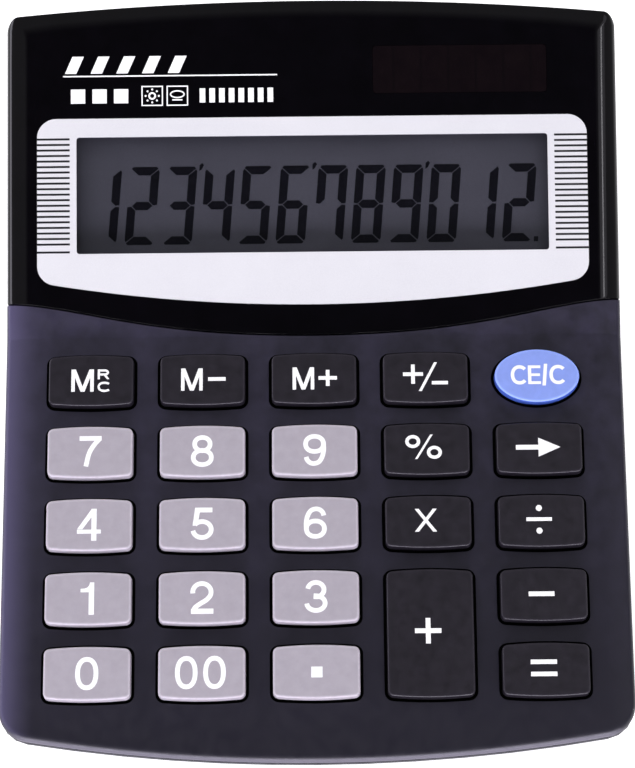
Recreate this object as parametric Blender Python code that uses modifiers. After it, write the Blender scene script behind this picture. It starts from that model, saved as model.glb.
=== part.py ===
"""Desk calculator: 12-digit, solar and button cell, 24 keys.

World frame: X to the right, Y to the back, Z up, metres. The origin is on the desk, under the
middle of the case. Two empties carry the sloping parts: deck_frame lies on the keypad's surface
and head_frame on the display's, both with local Z square to that surface.
"""

import math

import bmesh
import bpy
from mathutils import Matrix

MM = 0.001

# Case
WIDTH = 102.0 * MM
HALF_LENGTH = 62.08 * MM
FRONT_BOW_RADIUS = 289 * MM
REAR_BOW_RADIUS = 556 * MM
FRONT_CORNER_RADIUS = 5.5 * MM
REAR_CORNER_RADIUS = 2.2 * MM
WALL = 1.8 * MM
FLOOR_LOW = 1.5 * MM
FLOOR_TOP = 3.0 * MM
SEAM = 0.2 * MM
GAP = 0.3 * MM
OVERLAP = 0.4 * MM
UPRIGHT = 1.1 * MM
DRAW_SLOPE = 0.45
DRAW_MOST = 2.9 * MM
LEAST_RADIUS = 0.6 * MM
CASE_EDGE = 0.7 * MM
SHARP = math.radians(60)

# Keypad deck and display head: one point on each surface and its slope
DECK_SLOPE = math.radians(6.5)
DECK_POINT = (0.0, 2.07 * MM, 17.3 * MM)
HEAD_SLOPE = math.radians(17.97)
HEAD_POINT = (0.0, 30.808 * MM, 25.358 * MM)
DECK_SKIN = 1.6 * MM
FRONT_SKIRT = 1.2 * MM
MIDDLE_SKIRT = 4.9 * MM
REAR_SKIRT = 7.0 * MM
HEAD_FLOOR = 1.5 * MM

# Display cover and what lies under it
COVER_THICK = 2.6 * MM
COVER_RIM = 1.8 * MM
LIP_CENTRE_Y = 8.4 * MM
LIP_SWEEP = 5.3 * MM
LENS_HALF_WIDTH = 45.87 * MM
LENS_TOP = 12.94 * MM
LENS_BOTTOM = -18.57 * MM
LENS_BOW_RADIUS = 262 * MM
LENS_CORNER_RADIUS = 3.2 * MM
LENS_THICK = 1.6 * MM
LENS_GAP = 0.15 * MM
WINDOW_SIZE = (78.6 * MM, 19.6 * MM)
LCD_SIZE = (84.0 * MM, 25.0 * MM)
LCD_THICK = 2.0 * MM
SOLAR_CENTRE = (24.8 * MM, 20.8 * MM)
SOLAR_WINDOW_SIZE = (29.0 * MM, 8.0 * MM)
SOLAR_CELL_SIZE = (31.0 * MM, 10.0 * MM)

# Keys
KEY_WIDTH = 14.0 * MM
KEY_DEPTH = 8.76 * MM
CLEAR_KEY_DEPTH = 9.1 * MM
CLEAR_KEY_SIDES = 28
KEY_RISE = 1.8 * MM
KEY_BOW = 0.38 * MM
KEY_CORNER = 1.0 * MM
KEY_EDGE = 0.25 * MM
KEY_GAP = 0.42 * MM
KEY_FLANGE = 0.8 * MM
KEY_FLANGE_TOP = -1.9 * MM
KEY_FLANGE_LOW = -2.6 * MM
COLUMN_PITCH = 18.33 * MM
ROW_PITCH = 12.17 * MM
TOP_ROW = -1.77 * MM
CLEAR_KEY_SHIFT = 0.15 * MM

# Layers under the deck, measured square to it; the mat and the board end at a distance along it
MAT_TOP = -4.1 * MM
MAT_LOW = -4.8 * MM
DOME_TOP = -2.9 * MM
BOARD_TOP = -5.1 * MM
BOARD_LOW = -6.1 * MM
MAT_WIDTH = 88.0 * MM
MAT_ENDS = (-54.4 * MM, 3.4 * MM)
BOARD_WIDTH = 93.0 * MM
BOARD_ENDS = (-54.6 * MM, 7.3 * MM)
BOARD_CORNER = 3.0 * MM
BOARD_EAR = (5.0 * MM, 5.0 * MM)

LIGHT, DARK, BLUE = "light_key", "dark_key", "blue_key"
KEY_ROWS = (
    (
        ("key_mrc", DARK),
        ("key_m_minus", DARK),
        ("key_m_plus", DARK),
        ("key_sign", DARK),
        ("key_clear", BLUE),
    ),
    (("key_7", LIGHT), ("key_8", LIGHT), ("key_9", LIGHT), ("key_percent", DARK), ("key_backspace", DARK)),
    (("key_4", LIGHT), ("key_5", LIGHT), ("key_6", LIGHT), ("key_multiply", DARK), ("key_divide", DARK)),
    (("key_1", LIGHT), ("key_2", LIGHT), ("key_3", LIGHT), ("key_plus", DARK), ("key_minus", DARK)),
    (("key_0", LIGHT), ("key_00", LIGHT), ("key_point", LIGHT), None, ("key_equals", DARK)),
)

# Name: colour, roughness, metallic
FINISHES = {
    "housing_plastic": ((0.035, 0.033, 0.052), 0.55, 0.0),
    "cover_plastic": ((0.006, 0.006, 0.008), 0.12, 0.0),
    "lens_plastic": ((0.80, 0.80, 0.84), 0.15, 0.0),
    "window_plastic": ((0.05, 0.03, 0.03), 0.08, 0.0),
    "light_key": ((0.42, 0.39, 0.44), 0.5, 0.0),
    "dark_key": ((0.024, 0.020, 0.024), 0.35, 0.0),
    "blue_key": ((0.17, 0.26, 0.68), 0.4, 0.0),
    "lcd_glass": ((0.07, 0.07, 0.08), 0.3, 0.0),
    "white_plastic": ((0.75, 0.75, 0.72), 0.5, 0.0),
    "ribbon_film": ((0.30, 0.28, 0.24), 0.4, 0.0),
    "solar_glass": ((0.02, 0.01, 0.015), 0.15, 0.0),
    "board_laminate": ((0.22, 0.14, 0.05), 0.6, 0.0),
    "epoxy": ((0.01, 0.01, 0.01), 0.35, 0.0),
    "capacitor_sleeve": ((0.02, 0.03, 0.12), 0.4, 0.0),
    "silicone": ((0.55, 0.55, 0.55), 0.7, 0.0),
    "foot_rubber": ((0.02, 0.02, 0.02), 0.85, 0.0),
    "screw_steel": ((0.55, 0.55, 0.57), 0.35, 1.0),
    "cell_steel": ((0.70, 0.70, 0.72), 0.25, 1.0),
    "contact_steel": ((0.65, 0.62, 0.55), 0.3, 1.0),
    "wire_red": ((0.45, 0.02, 0.02), 0.5, 0.0),
    "wire_black": ((0.02, 0.02, 0.02), 0.5, 0.0),
}

# Places in plan, in millimetres; the board screws' are on the deck
CASE_SCREWS = ((-44, 13.6), (44, 13.6), (-43, 52.5), (43, 52.5))
FEET = ((-38, -46.5), (38, -46.5), (-40, 43.5), (40, 43.5))
BOARD_SCREWS = ((-27.4, -57.3), (27.4, -57.3), (-40, 5.5), (40, 5.5))

# Screws: radii of head, shank, boss and pilot hole, head height
CASE_SCREW_HEAD = 2.3 * MM
CASE_SCREW_SHANK = 0.9 * MM
CASE_SCREW_HEIGHT = 1.3 * MM
CASE_BOSS = 2.4 * MM
CASE_PILOT = 1.2 * MM
CASE_POST = (3.9 * MM, 3.6 * MM)
CASE_POST_HOLE = 1.4 * MM
CASE_COUNTERBORE = 2.7 * MM
BOARD_SCREW_HEAD = 1.7 * MM
BOARD_SCREW_SHANK = 0.7 * MM
BOARD_SCREW_HEIGHT = 0.9 * MM
BOARD_SCREW_LENGTH = 3.6 * MM
BOARD_BOSS = 1.7 * MM
BOARD_PILOT = 1.0 * MM
BOARD_HOLE = 1.05 * MM

# Feet, battery and its door: radii
FOOT_RADIUS = 4.5 * MM
FOOT_SEAT = 4.8 * MM
DOOR_RADIUS = 8.0 * MM
DOOR_HOLE = 8.3 * MM
LUG_REACH = 9.3 * MM
LUG_ROOM = 10.3 * MM
CELL_RADIUS = 5.8 * MM
CELL_HOLE = 6.2 * MM
CELL_SEAT = 12.0 * MM
CELL_CENTRE = (24 * MM, 34 * MM)
LUG_TURN = math.radians(-50)


# Name, finish and the points that each wire passes, in millimetres
WIRES = (
    (
        "battery_wire_negative",
        "wire_black",
        ((24, 27.5, 9.5), (24, 24, 10.2), (23, 14, 9.2), (20, 8, 9.8), (17, 5, 10.3)),
    ),
    (
        "battery_wire_positive",
        "wire_red",
        ((31.6, 34, 9.4), (34, 31, 10.2), (34, 20, 9.4), (32, 10, 9.8), (30, 5, 10.3)),
    ),
    (
        "solar_wire_positive",
        "wire_red",
        ((44.6, 50.2, 25.6), (46, 46, 23), (46, 30, 16), (38, 14, 9.6), (37, 5, 10.3)),
    ),
    (
        "solar_wire_negative",
        "wire_black",
        ((7, 50.2, 25.6), (2, 50.5, 22), (-8, 36, 12), (-10, 18, 9.4), (-11, 5, 10.3)),
    ),
)


# ---------------------------------------------------------------- scene helpers


def clear_scene():
    for obj in list(bpy.data.objects):
        bpy.data.objects.remove(obj, do_unlink=True)


def collection(name):
    group = bpy.data.collections.new(name)
    bpy.context.scene.collection.children.link(group)
    return group


def material(finish):
    found = bpy.data.materials.get(finish)
    if found:
        return found
    colour, roughness, metallic = FINISHES[finish]
    made = bpy.data.materials.new(finish)
    made.use_nodes = True
    shader = made.node_tree.nodes["Principled BSDF"]
    shader.inputs["Base Color"].default_value = (*colour, 1.0)
    shader.inputs["Roughness"].default_value = roughness
    shader.inputs["Metallic"].default_value = metallic
    return made


def frame_empty(name, point, slope):
    empty = bpy.data.objects.new(name, None)
    empty.location = point
    empty.rotation_euler = (slope, 0, 0)
    empty.empty_display_size = 20 * MM
    PARTS.objects.link(empty)
    return empty


def add_object(name, mesh, group):
    obj = bpy.data.objects.new(name, mesh)
    group.objects.link(obj)
    return obj


def realised(obj):
    """Replaces the object by a mesh object with its modifiers applied and its seams welded."""
    bpy.context.view_layer.update()
    graph = bpy.context.evaluated_depsgraph_get()
    mesh = bpy.data.meshes.new_from_object(obj.evaluated_get(graph))
    bm = bmesh.new()
    bm.from_mesh(mesh)
    bmesh.ops.remove_doubles(bm, verts=bm.verts, dist=0.001 * MM)
    bm.to_mesh(mesh)
    bm.free()
    name, group = obj.name, obj.users_collection[0]
    parent, place = obj.parent, obj.matrix_basis.copy()
    bpy.data.objects.remove(obj, do_unlink=True)
    made = add_object(name, mesh, group)
    made.parent = parent
    made.matrix_basis = place
    return made


def finished(obj, finish, parent=None, location=None):
    """Gives a part its material, its smooth shading, its parent and its place."""
    obj.data.materials.clear()
    obj.data.materials.append(material(finish))
    if obj.type == "MESH":
        obj.data.shade_smooth()
        obj.data.set_sharp_from_angle(angle=math.radians(35))
    if parent:
        obj.parent = parent
    if location:
        obj.location = location
    return obj


# ---------------------------------------------------------------- shape helpers


def flat_shape(name, outlines, low, high, group):
    """A flat shape from closed outlines, an inner one being a hole, between two heights along local Z."""
    curve = bpy.data.curves.new(name, "CURVE")
    curve.dimensions = "2D"
    curve.fill_mode = "BOTH"
    curve.extrude = (high - low) / 2
    for outline in outlines:
        spline = curve.splines.new("POLY")
        spline.points.add(len(outline) - 1)
        for point, (x, y) in zip(spline.points, outline):
            point.co = (x, y, 0, 1)
        spline.use_cyclic_u = True
    obj = realised(add_object(name, curve, group))
    obj.data.transform(Matrix.Translation((0, 0, (low + high) / 2)))
    return obj


def side_shape(name, outline, group):
    """A profile of (y, z) points run right across the case along X."""
    reach = WIDTH
    obj = flat_shape(name, [outline], -reach, reach, group)
    obj.data.transform(Matrix(((0, 0, 1, 0), (1, 0, 0, 0), (0, 1, 0, 0), (0, 0, 0, 1))))
    return obj


def box(name, size, centre, group):
    bm = bmesh.new()
    bmesh.ops.create_cube(bm, size=1)
    bmesh.ops.scale(bm, vec=size, verts=bm.verts)
    bmesh.ops.translate(bm, vec=centre, verts=bm.verts)
    mesh = bpy.data.meshes.new(name)
    bm.to_mesh(mesh)
    bm.free()
    return add_object(name, mesh, group)


def cone(name, low_radius, high_radius, low, high, group, centre=(0, 0), sides=20):
    bm = bmesh.new()
    bmesh.ops.create_cone(
        bm, cap_ends=True, segments=sides, radius1=low_radius, radius2=high_radius, depth=high - low
    )
    bmesh.ops.translate(bm, vec=(*centre, (low + high) / 2), verts=bm.verts)
    mesh = bpy.data.meshes.new(name)
    bm.to_mesh(mesh)
    bm.free()
    return add_object(name, mesh, group)


def joined(name, objects):
    """One object from several: they stay separate bodies in it."""
    bm = bmesh.new()
    for obj in objects:
        mesh = obj.data.copy()
        mesh.transform(obj.matrix_basis)
        bm.from_mesh(mesh)
    mesh = bpy.data.meshes.new(name)
    bm.to_mesh(mesh)
    bm.free()
    group = objects[0].users_collection[0]
    for obj in objects:
        bpy.data.objects.remove(obj, do_unlink=True)
    return add_object(name, mesh, group)


def boolean(obj, other, operation, solver="EXACT"):
    modifier = obj.modifiers.new(f"{operation.lower()} {other.name}", "BOOLEAN")
    modifier.operation = operation
    modifier.solver = solver
    modifier.object = other
    other.hide_render = True
    other.display_type = "WIRE"


def bevel(obj, width, segments, chosen=lambda middle: True):
    """Rounds the sharp edges whose middle point is one of the chosen."""
    bm = bmesh.new()
    bm.from_mesh(obj.data)
    weight = bm.edges.layers.float.new("bevel_weight_edge")
    for edge in bm.edges:
        middle = (edge.verts[0].co + edge.verts[1].co) / 2
        if edge.calc_face_angle() > SHARP and chosen(middle):
            edge[weight] = 1.0
    bm.to_mesh(obj.data)
    bm.free()
    modifier = obj.modifiers.new("rounded edges", "BEVEL")
    modifier.width = width
    modifier.segments = segments
    modifier.limit_method = "WEIGHT"


def fused(first, *others):
    """One body from several that overlap."""
    for other in others:
        boolean(first, other, "UNION")
    made = realised(first)
    for other in others:
        bpy.data.objects.remove(other, do_unlink=True)
    return made


def arc(centre, radius, start, end, steps):
    """Points along an arc, the angles in radians."""
    angles = (start + (end - start) * i / steps for i in range(steps + 1))
    return [(centre[0] + radius * math.cos(a), centre[1] + radius * math.sin(a)) for a in angles]


def mirrored(right_half):
    """A closed outline from its right half, which starts and ends on the axis X = 0."""
    left_half = [(-x, y) for x, y in reversed(right_half[1:-1])]
    return right_half + left_half


def bowed_edge(half_width, edge, bow_radius, corner_radius, steps, corner_steps):
    """The lower right quarter of an outline: a bow about X = 0, then a corner that runs into the side."""
    bow_centre = edge + bow_radius
    corner_x = half_width - corner_radius
    corner_y = bow_centre - math.sqrt((bow_radius - corner_radius) ** 2 - corner_x**2)
    meeting = math.atan2(corner_y - bow_centre, corner_x)
    bow = arc((0, bow_centre), bow_radius, -math.pi / 2, meeting, steps)
    return bow + arc((corner_x, corner_y), corner_radius, meeting, 0, corner_steps)[1:]


def case_outline(inset=0.0):
    return mirrored(right_front(inset) + right_rear(inset))


def right_front(inset):
    """From the middle of the front edge to the right side."""
    radius = max(FRONT_CORNER_RADIUS - inset, LEAST_RADIUS)
    return bowed_edge(WIDTH / 2 - inset, inset - HALF_LENGTH, FRONT_BOW_RADIUS, radius, 6, 4)


def right_rear(inset):
    """From the right side to the middle of the back edge."""
    radius = max(REAR_CORNER_RADIUS - inset, LEAST_RADIUS)
    rear = bowed_edge(WIDTH / 2 - inset, inset - HALF_LENGTH, REAR_BOW_RADIUS, radius, 5, 3)
    return [(x, -y) for x, y in reversed(rear)]


def rounded_rectangle(width, depth, radius, centre=(0, 0), bow=0.0, corner_steps=2):
    """A rectangle with round corners, its front and back edges bowed outwards."""
    half_width, half_depth = width / 2, depth / 2
    if bow:
        bow_radius = (half_width**2 + bow**2) / (2 * bow)
        quarter = bowed_edge(half_width, -half_depth, bow_radius, radius, 2, corner_steps)
        outline = mirrored(quarter + [(x, -y) for x, y in reversed(quarter)])
    else:
        corner = (half_width - radius, radius - half_depth)
        quarter = arc(corner, radius, -math.pi / 2, 0, corner_steps)
        right = quarter + [(x, -y) for x, y in reversed(quarter)]
        outline = right + [(-x, y) for x, y in reversed(right)]
    return [(x + centre[0], y + centre[1]) for x, y in outline]


def deck_height(y, below=0.0):
    return DECK_POINT[2] + (y - DECK_POINT[1]) * math.tan(DECK_SLOPE) - below


def head_height(y, below=0.0):
    return HEAD_POINT[2] + (y - HEAD_POINT[1]) * math.tan(HEAD_SLOPE) - below


def crease_y():
    """Where the keypad's surface meets the display's."""
    level = deck_height(0) - head_height(0)
    return level / (math.tan(HEAD_SLOPE) - math.tan(DECK_SLOPE))


def parting_height(y, below=0.0):
    """The joint between the front housing and the back cover, seen from the side: two straight runs."""
    crease = crease_y()
    front = (-HALF_LENGTH, deck_height(-HALF_LENGTH, FRONT_SKIRT))
    middle = (crease, deck_height(crease, MIDDLE_SKIRT))
    rear = (HALF_LENGTH, head_height(HALF_LENGTH, REAR_SKIRT))
    start, end = (front, middle) if y <= crease else (middle, rear)
    return start[1] + (end[1] - start[1]) * (y - start[0]) / (end[0] - start[0]) - below


def lip_y(x):
    """The display cover's front edge in plan: a shallow bow that levels out at the sides."""
    share = abs(x) / (WIDTH / 2)
    return LIP_CENTRE_Y + LIP_SWEEP * (share**2 + share**4 - share**6)


def head_outline(forward, reach):
    """In the head frame: from the cover's front edge, moved forward, to beyond the back of the case."""
    steps = 24
    xs = [reach * (2 * i / steps - 1) for i in range(steps + 1)]
    share = 1 / math.cos(HEAD_SLOPE)
    front = []
    for x in xs:
        within = min(max(x, -WIDTH / 2), WIDTH / 2)
        front.append((x, (lip_y(within) - HEAD_POINT[1]) * share - forward))
    back = 45 * MM
    return front + [(reach, back), (-reach, back)]


def lens_outline(grow=0.0):
    half_width = LENS_HALF_WIDTH + grow
    radius = LENS_CORNER_RADIUS + grow
    front = bowed_edge(half_width, LENS_BOTTOM - grow, LENS_BOW_RADIUS, radius, 6, 4)
    corner = (half_width - radius, LENS_TOP + grow - radius)
    back = arc(corner, radius, 0, math.pi / 2, 4)
    return mirrored(front + back + [(0, LENS_TOP + grow)])


def key_places():
    """Each key's name, finish, centre on the deck and length along it."""
    for row, keys in enumerate(KEY_ROWS):
        for column, key in enumerate(keys):
            if not key:
                continue
            x = (column - 2) * COLUMN_PITCH
            y = TOP_ROW - row * ROW_PITCH + CLEAR_KEY_SHIFT * (key[0] == "key_clear")
            is_tall = key[0] == "key_plus"
            yield key[0], key[1], x, y - is_tall * ROW_PITCH / 2, KEY_DEPTH + is_tall * ROW_PITCH


def key_outline(name, depth, grow=0.0, centre=(0, 0)):
    """A bowed rectangle, or an ellipse for the clear key."""
    if name != "key_clear":
        width = KEY_WIDTH + 2 * grow
        return rounded_rectangle(width, depth + 2 * grow, KEY_CORNER + grow, centre, KEY_BOW)
    half_width, half_depth = KEY_WIDTH / 2 + grow, CLEAR_KEY_DEPTH / 2 + grow
    turns = (2 * math.pi * i / CLEAR_KEY_SIDES for i in range(CLEAR_KEY_SIDES))
    return [(centre[0] + half_width * math.cos(a), centre[1] + half_depth * math.sin(a)) for a in turns]


# ---------------------------------------------------------------- case


def case_prism(name, inset, group):
    return flat_shape(name, [case_outline(inset)], -5 * MM, 60 * MM, group)


def screw_levels(y):
    """Heights of a case screw's head seat, of the joint between its two bosses and of its tip."""
    joint = head_height(y * MM) - 10.5 * MM
    return joint - 4.0 * MM, joint, joint + 4.5 * MM


def post(radius, low, high, centre):
    """An upright round post, or the cutter for a round hole."""
    return cone("post", radius, radius, low, high, CUTTERS, centre, 16)


def front_housing():
    crease, reach = crease_y(), 70 * MM
    upper = [(-reach, deck_height(-reach)), (crease, deck_height(crease)), (reach, head_height(reach))]
    lower = [(y, parting_height(y)) for y in (reach, crease, -reach)]
    profile = side_shape("housing_profile", upper + lower, CUTTERS)
    housing = case_prism("front_housing", 0, PARTS)
    boolean(housing, profile, "INTERSECT")
    housing = realised(housing)
    bevel(housing, CASE_EDGE, 2, lambda middle: middle.z > parting_height(middle.y) + CASE_EDGE)
    housing = realised(housing)

    beyond = head_outline(GAP, WIDTH / 2 + 3 * MM)
    seat = flat_shape("cover_seat_cutter", [beyond], -COVER_THICK - GAP, 12 * MM, CUTTERS)
    seat.parent = HEAD
    boolean(housing, seat, "DIFFERENCE")

    step = LIP_CENTRE_Y - WALL
    under = COVER_THICK + GAP + HEAD_FLOOR
    depth = -10 * MM
    hollow_profile = [
        (-reach, deck_height(-reach, DECK_SKIN)),
        (step, deck_height(step, DECK_SKIN)),
        (step, head_height(step, under)),
        (reach, head_height(reach, under)),
        (reach, depth),
        (-reach, depth),
    ]
    hollow = case_prism("housing_hollow_cutter", WALL, CUTTERS)
    boolean(hollow, side_shape("housing_hollow_profile", hollow_profile, CUTTERS), "INTERSECT")
    hollow = realised(hollow)
    boolean(housing, hollow, "DIFFERENCE")

    holes = [
        flat_shape(f"hole {name}", [key_outline(name, depth, KEY_GAP, (x, y))], -5 * MM, 5 * MM, CUTTERS)
        for name, _, x, y, depth in key_places()
    ]
    holes = joined("key_hole_cutter", holes)
    holes.parent = DECK
    boolean(housing, holes, "DIFFERENCE")

    clear = 2 * GAP
    lcd_size = (LCD_SIZE[0] + clear, LCD_SIZE[1] + clear)
    solar_size = (SOLAR_CELL_SIZE[0] + clear, SOLAR_CELL_SIZE[1] + clear)
    lcd_bay = rounded_rectangle(*lcd_size, 0.8 * MM)
    solar_bay = rounded_rectangle(*solar_size, 0.8 * MM, SOLAR_CENTRE)
    bays = [flat_shape("bay", [outline], -9 * MM, 2 * MM, CUTTERS) for outline in (lcd_bay, solar_bay)]
    bays = joined("head_bay_cutter", bays)
    bays.parent = HEAD
    boolean(housing, bays, "DIFFERENCE")

    bosses, pilots = [], []
    for x, y in CASE_SCREWS:
        centre = (x * MM, y * MM)
        _, joint, _ = screw_levels(y)
        skin = head_height(y * MM, under)
        bosses.append(post(CASE_BOSS, joint + GAP, skin + OVERLAP, centre))
        pilots.append(post(CASE_PILOT, 0, skin - GAP, centre))
    boss = joined("case_boss", bosses)
    boolean(housing, boss, "UNION")
    boolean(housing, joined("case_pilot_cutter", pilots), "DIFFERENCE")

    bosses, pilots = [], []
    for x, y in BOARD_SCREWS:
        centre = (x * MM, y * MM)
        bosses.append(post(BOARD_BOSS, BOARD_TOP + GAP, OVERLAP - DECK_SKIN, centre))
        pilots.append(post(BOARD_PILOT, 2 * BOARD_TOP, -DECK_SKIN - GAP, centre))
    boss, pilot = joined("board_boss", bosses), joined("board_pilot_cutter", pilots)
    boss.parent = DECK
    pilot.parent = DECK
    boolean(housing, boss, "UNION")
    boolean(housing, pilot, "DIFFERENCE")
    return finished(housing, "housing_plastic")


def tub_outline(inset):
    """The case's outline with a point at the crease on each side."""
    return mirrored(right_front(inset) + [(WIDTH / 2 - inset, crease_y())] + right_rear(inset))


def tub(name, wall, top, floor, group):
    """The back cover's outer or inner form: upright below the joint, then drawn in down to its floor."""
    outline = tub_outline(wall)
    rings = [[(x, y, parting_height(y, below)) for x, y in outline] for below in (top, UPRIGHT)]
    low_ring = []
    for i, (_, y) in enumerate(outline):
        inset = wall + min(DRAW_SLOPE * (parting_height(y, UPRIGHT) - floor), DRAW_MOST)
        low_ring.append((*tub_outline(inset)[i], floor))
    rings.append(low_ring)
    count = len(outline)
    crease = [i for i, (_, y) in enumerate(outline) if abs(y - crease_y()) < 0.001 * MM]
    bm = bmesh.new()
    rows = [[bm.verts.new(point) for point in ring] for ring in rings]
    for upper, lower in zip(rows, rows[1:]):
        for i in range(count):
            after = (i + 1) % count
            bm.faces.new((lower[i], lower[after], upper[after], upper[i]))
    bm.faces.new(list(reversed(rows[-1])))
    bm.faces.new(rows[0][crease[0] : crease[1] + 1])
    bm.faces.new(rows[0][crease[1] :] + rows[0][: crease[0] + 1])
    bmesh.ops.triangulate(bm, faces=bm.faces)
    mesh = bpy.data.meshes.new(name)
    bm.to_mesh(mesh)
    bm.free()
    return add_object(name, mesh, group)


def back_cover():
    cover = tub("back_cover", 0, SEAM, FLOOR_LOW, PARTS)
    bevel(cover, 1.2 * MM, 2, lambda middle: middle.z < FLOOR_LOW + GAP)
    cover = realised(cover)
    boolean(cover, tub("back_hollow_cutter", WALL, -0.5 * MM, FLOOR_TOP, CUTTERS), "DIFFERENCE")

    posts, holes = [], []
    for x, y in CASE_SCREWS:
        centre = (x * MM, y * MM)
        seat, joint, _ = screw_levels(y)
        posts.append(cone("post", *CASE_POST, FLOOR_LOW + OVERLAP, joint, CUTTERS, centre, 16))
        bore = post(CASE_POST_HOLE, 0, 40 * MM, centre)
        counterbore = post(CASE_COUNTERBORE, -1 * MM, seat, centre)
        holes.append(fused(bore, counterbore))
    boolean(cover, joined("case_post", posts), "UNION")

    seat = cone("cell_seat", CELL_SEAT, CELL_SEAT, FLOOR_TOP - OVERLAP, 8 * MM, CUTTERS, CELL_CENTRE, 32)
    boolean(cover, seat, "UNION")
    notch = box("lug notch", (19.8 * MM, 4.4 * MM, 4 * MM), (0, 0, 1.8 * MM), CUTTERS)
    notch.matrix_basis = Matrix.Translation((*CELL_CENTRE, 0)) @ Matrix.Rotation(LUG_TURN, 4, "Z")
    contact = (CELL_CENTRE[0] + 7.9 * MM, CELL_CENTRE[1], 9.2 * MM)
    room = fused(
        cone("cell_room_cutter", CELL_HOLE, CELL_HOLE, 4.4 * MM, 12 * MM, CUTTERS, CELL_CENTRE, 28),
        cone("lug room", LUG_ROOM, LUG_ROOM, FLOOR_TOP, 4.7 * MM, CUTTERS, CELL_CENTRE, 32),
        cone("door hole", DOOR_HOLE, DOOR_HOLE, 0, 3.5 * MM, CUTTERS, CELL_CENTRE, 32),
        notch,
        box("contact slot", (4.6 * MM, 4 * MM, 8 * MM), contact, CUTTERS),
    )
    boolean(cover, room, "DIFFERENCE")
    for x, y in FEET:
        holes.append(post(FOOT_SEAT, -1 * MM, 2.3 * MM, (x * MM, y * MM)))
    boolean(cover, joined("screw_and_foot_cutter", holes), "DIFFERENCE")
    return finished(cover, "housing_plastic")


def battery_cover():
    """A round door with a coin slot: two lugs lock it behind the floor when it is turned."""
    place = (*CELL_CENTRE, 0)
    door = cone("battery_cover", DOOR_RADIUS, DOOR_RADIUS, FLOOR_LOW + 0.1 * MM, 3.6 * MM, PARTS, sides=32)
    lugs = box("door_lugs", (2 * LUG_REACH, 3.4 * MM, 0.9 * MM), (0, 0, 3.75 * MM), CUTTERS)
    slot = box("coin_slot_cutter", (11 * MM, 1.8 * MM, 2 * MM), (0, 0, 1.5 * MM), CUTTERS)
    lugs.location = place
    slot.location = place
    boolean(door, lugs, "UNION")
    boolean(door, slot, "DIFFERENCE")
    return finished(door, "housing_plastic", location=place)


def feet_and_screws():
    for i, (x, y) in enumerate(FEET):
        foot = cone(f"foot_{i + 1}", FOOT_RADIUS - 0.4 * MM, FOOT_RADIUS, 0, 2.0 * MM, PARTS, sides=24)
        finished(foot, "foot_rubber", location=(x * MM, y * MM, 0))
    for i, (x, y) in enumerate(CASE_SCREWS):
        seat, _, tip = screw_levels(y)
        sizes = (CASE_SCREW_HEAD, CASE_SCREW_SHANK, CASE_SCREW_HEIGHT)
        screw(f"case_screw_{i + 1}", sizes, seat - GAP, tip, None, (x * MM, y * MM, 0))
    for i, (x, y) in enumerate(BOARD_SCREWS):
        seat = BOARD_LOW - GAP
        sizes = (BOARD_SCREW_HEAD, BOARD_SCREW_SHANK, BOARD_SCREW_HEIGHT)
        screw(f"board_screw_{i + 1}", sizes, seat, seat + BOARD_SCREW_LENGTH, DECK, (x * MM, y * MM, 0))


def screw(name, sizes, seat, tip, parent, place):
    """A pan-head screw standing on its head, turned from its half profile."""
    head_radius, shank_radius, height = sizes
    rim = 0.35 * MM
    profile = [
        (0, tip),
        (shank_radius * 0.5, tip),
        (shank_radius, tip - shank_radius),
        (shank_radius, seat),
        (head_radius, seat),
        (head_radius, seat - height + rim),
        (head_radius - rim, seat - height),
        (0, seat - height),
    ]
    edges = [(i, i + 1) for i in range(len(profile) - 1)]
    mesh = bpy.data.meshes.new(name)
    mesh.from_pydata([(x, 0, z) for x, z in profile], edges, [])
    made = add_object(name, mesh, PARTS)
    turn = made.modifiers.new("turned", "SCREW")
    turn.steps = 16
    turn.render_steps = 16
    turn.use_merge_vertices = True
    turn.merge_threshold = 0.00001
    turn.use_normal_calculate = True
    slot = box(f"{name}_slot", (head_radius * 1.3, 0.5 * MM, 0.8 * MM), (0, 0, seat - height), CUTTERS)
    slot.parent = parent
    slot.location = place
    boolean(made, slot, "DIFFERENCE")
    return finished(made, "screw_steel", parent, place)


# ---------------------------------------------------------------- display


def display_cover():
    """One moulded panel: a wide rounded rim at the sides and back, a narrow one along its front edge."""
    start, reach = -10 * MM, 70 * MM
    rim = case_prism("display_cover", 0, PARTS)
    under_surface = [(start, head_height(start)), (reach, head_height(reach)), (reach, 0), (start, 0)]
    boolean(rim, side_shape("cover_profile", under_surface, CUTTERS), "INTERSECT")
    rim = realised(rim)
    bevel(rim, COVER_RIM, 3, lambda middle: middle.z > head_height(middle.y) - GAP)
    cover = realised(rim)
    slab = flat_shape("cover_slab", [head_outline(0, WIDTH / 2 + 3 * MM)], -COVER_THICK, 0, CUTTERS)
    bevel(slab, 0.4 * MM, 2, lambda middle: middle.z > -GAP)
    slab = realised(slab)
    slab.parent = HEAD
    boolean(cover, slab, "INTERSECT")

    window_size = [side + 2 * LENS_GAP for side in SOLAR_WINDOW_SIZE]
    cell_window = rounded_rectangle(*window_size, 0.5 * MM, SOLAR_CENTRE)
    ledge = LENS_THICK + 0.1 * MM
    viewing = rounded_rectangle(WINDOW_SIZE[0] + 2 * MM, WINDOW_SIZE[1] + 2 * MM, 0.8 * MM)
    cutters = (
        flat_shape("lens_seat_cutter", [lens_outline(LENS_GAP)], -ledge, 3 * MM, CUTTERS),
        flat_shape("viewing_cutter", [viewing], -5 * MM, -ledge + OVERLAP, CUTTERS),
        flat_shape("cell_window_cutter", [cell_window], -5 * MM, 3 * MM, CUTTERS),
    )
    for cutter in cutters:
        cutter.parent = HEAD
        boolean(cover, cutter, "DIFFERENCE")
    return finished(cover, "cover_plastic")


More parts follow.
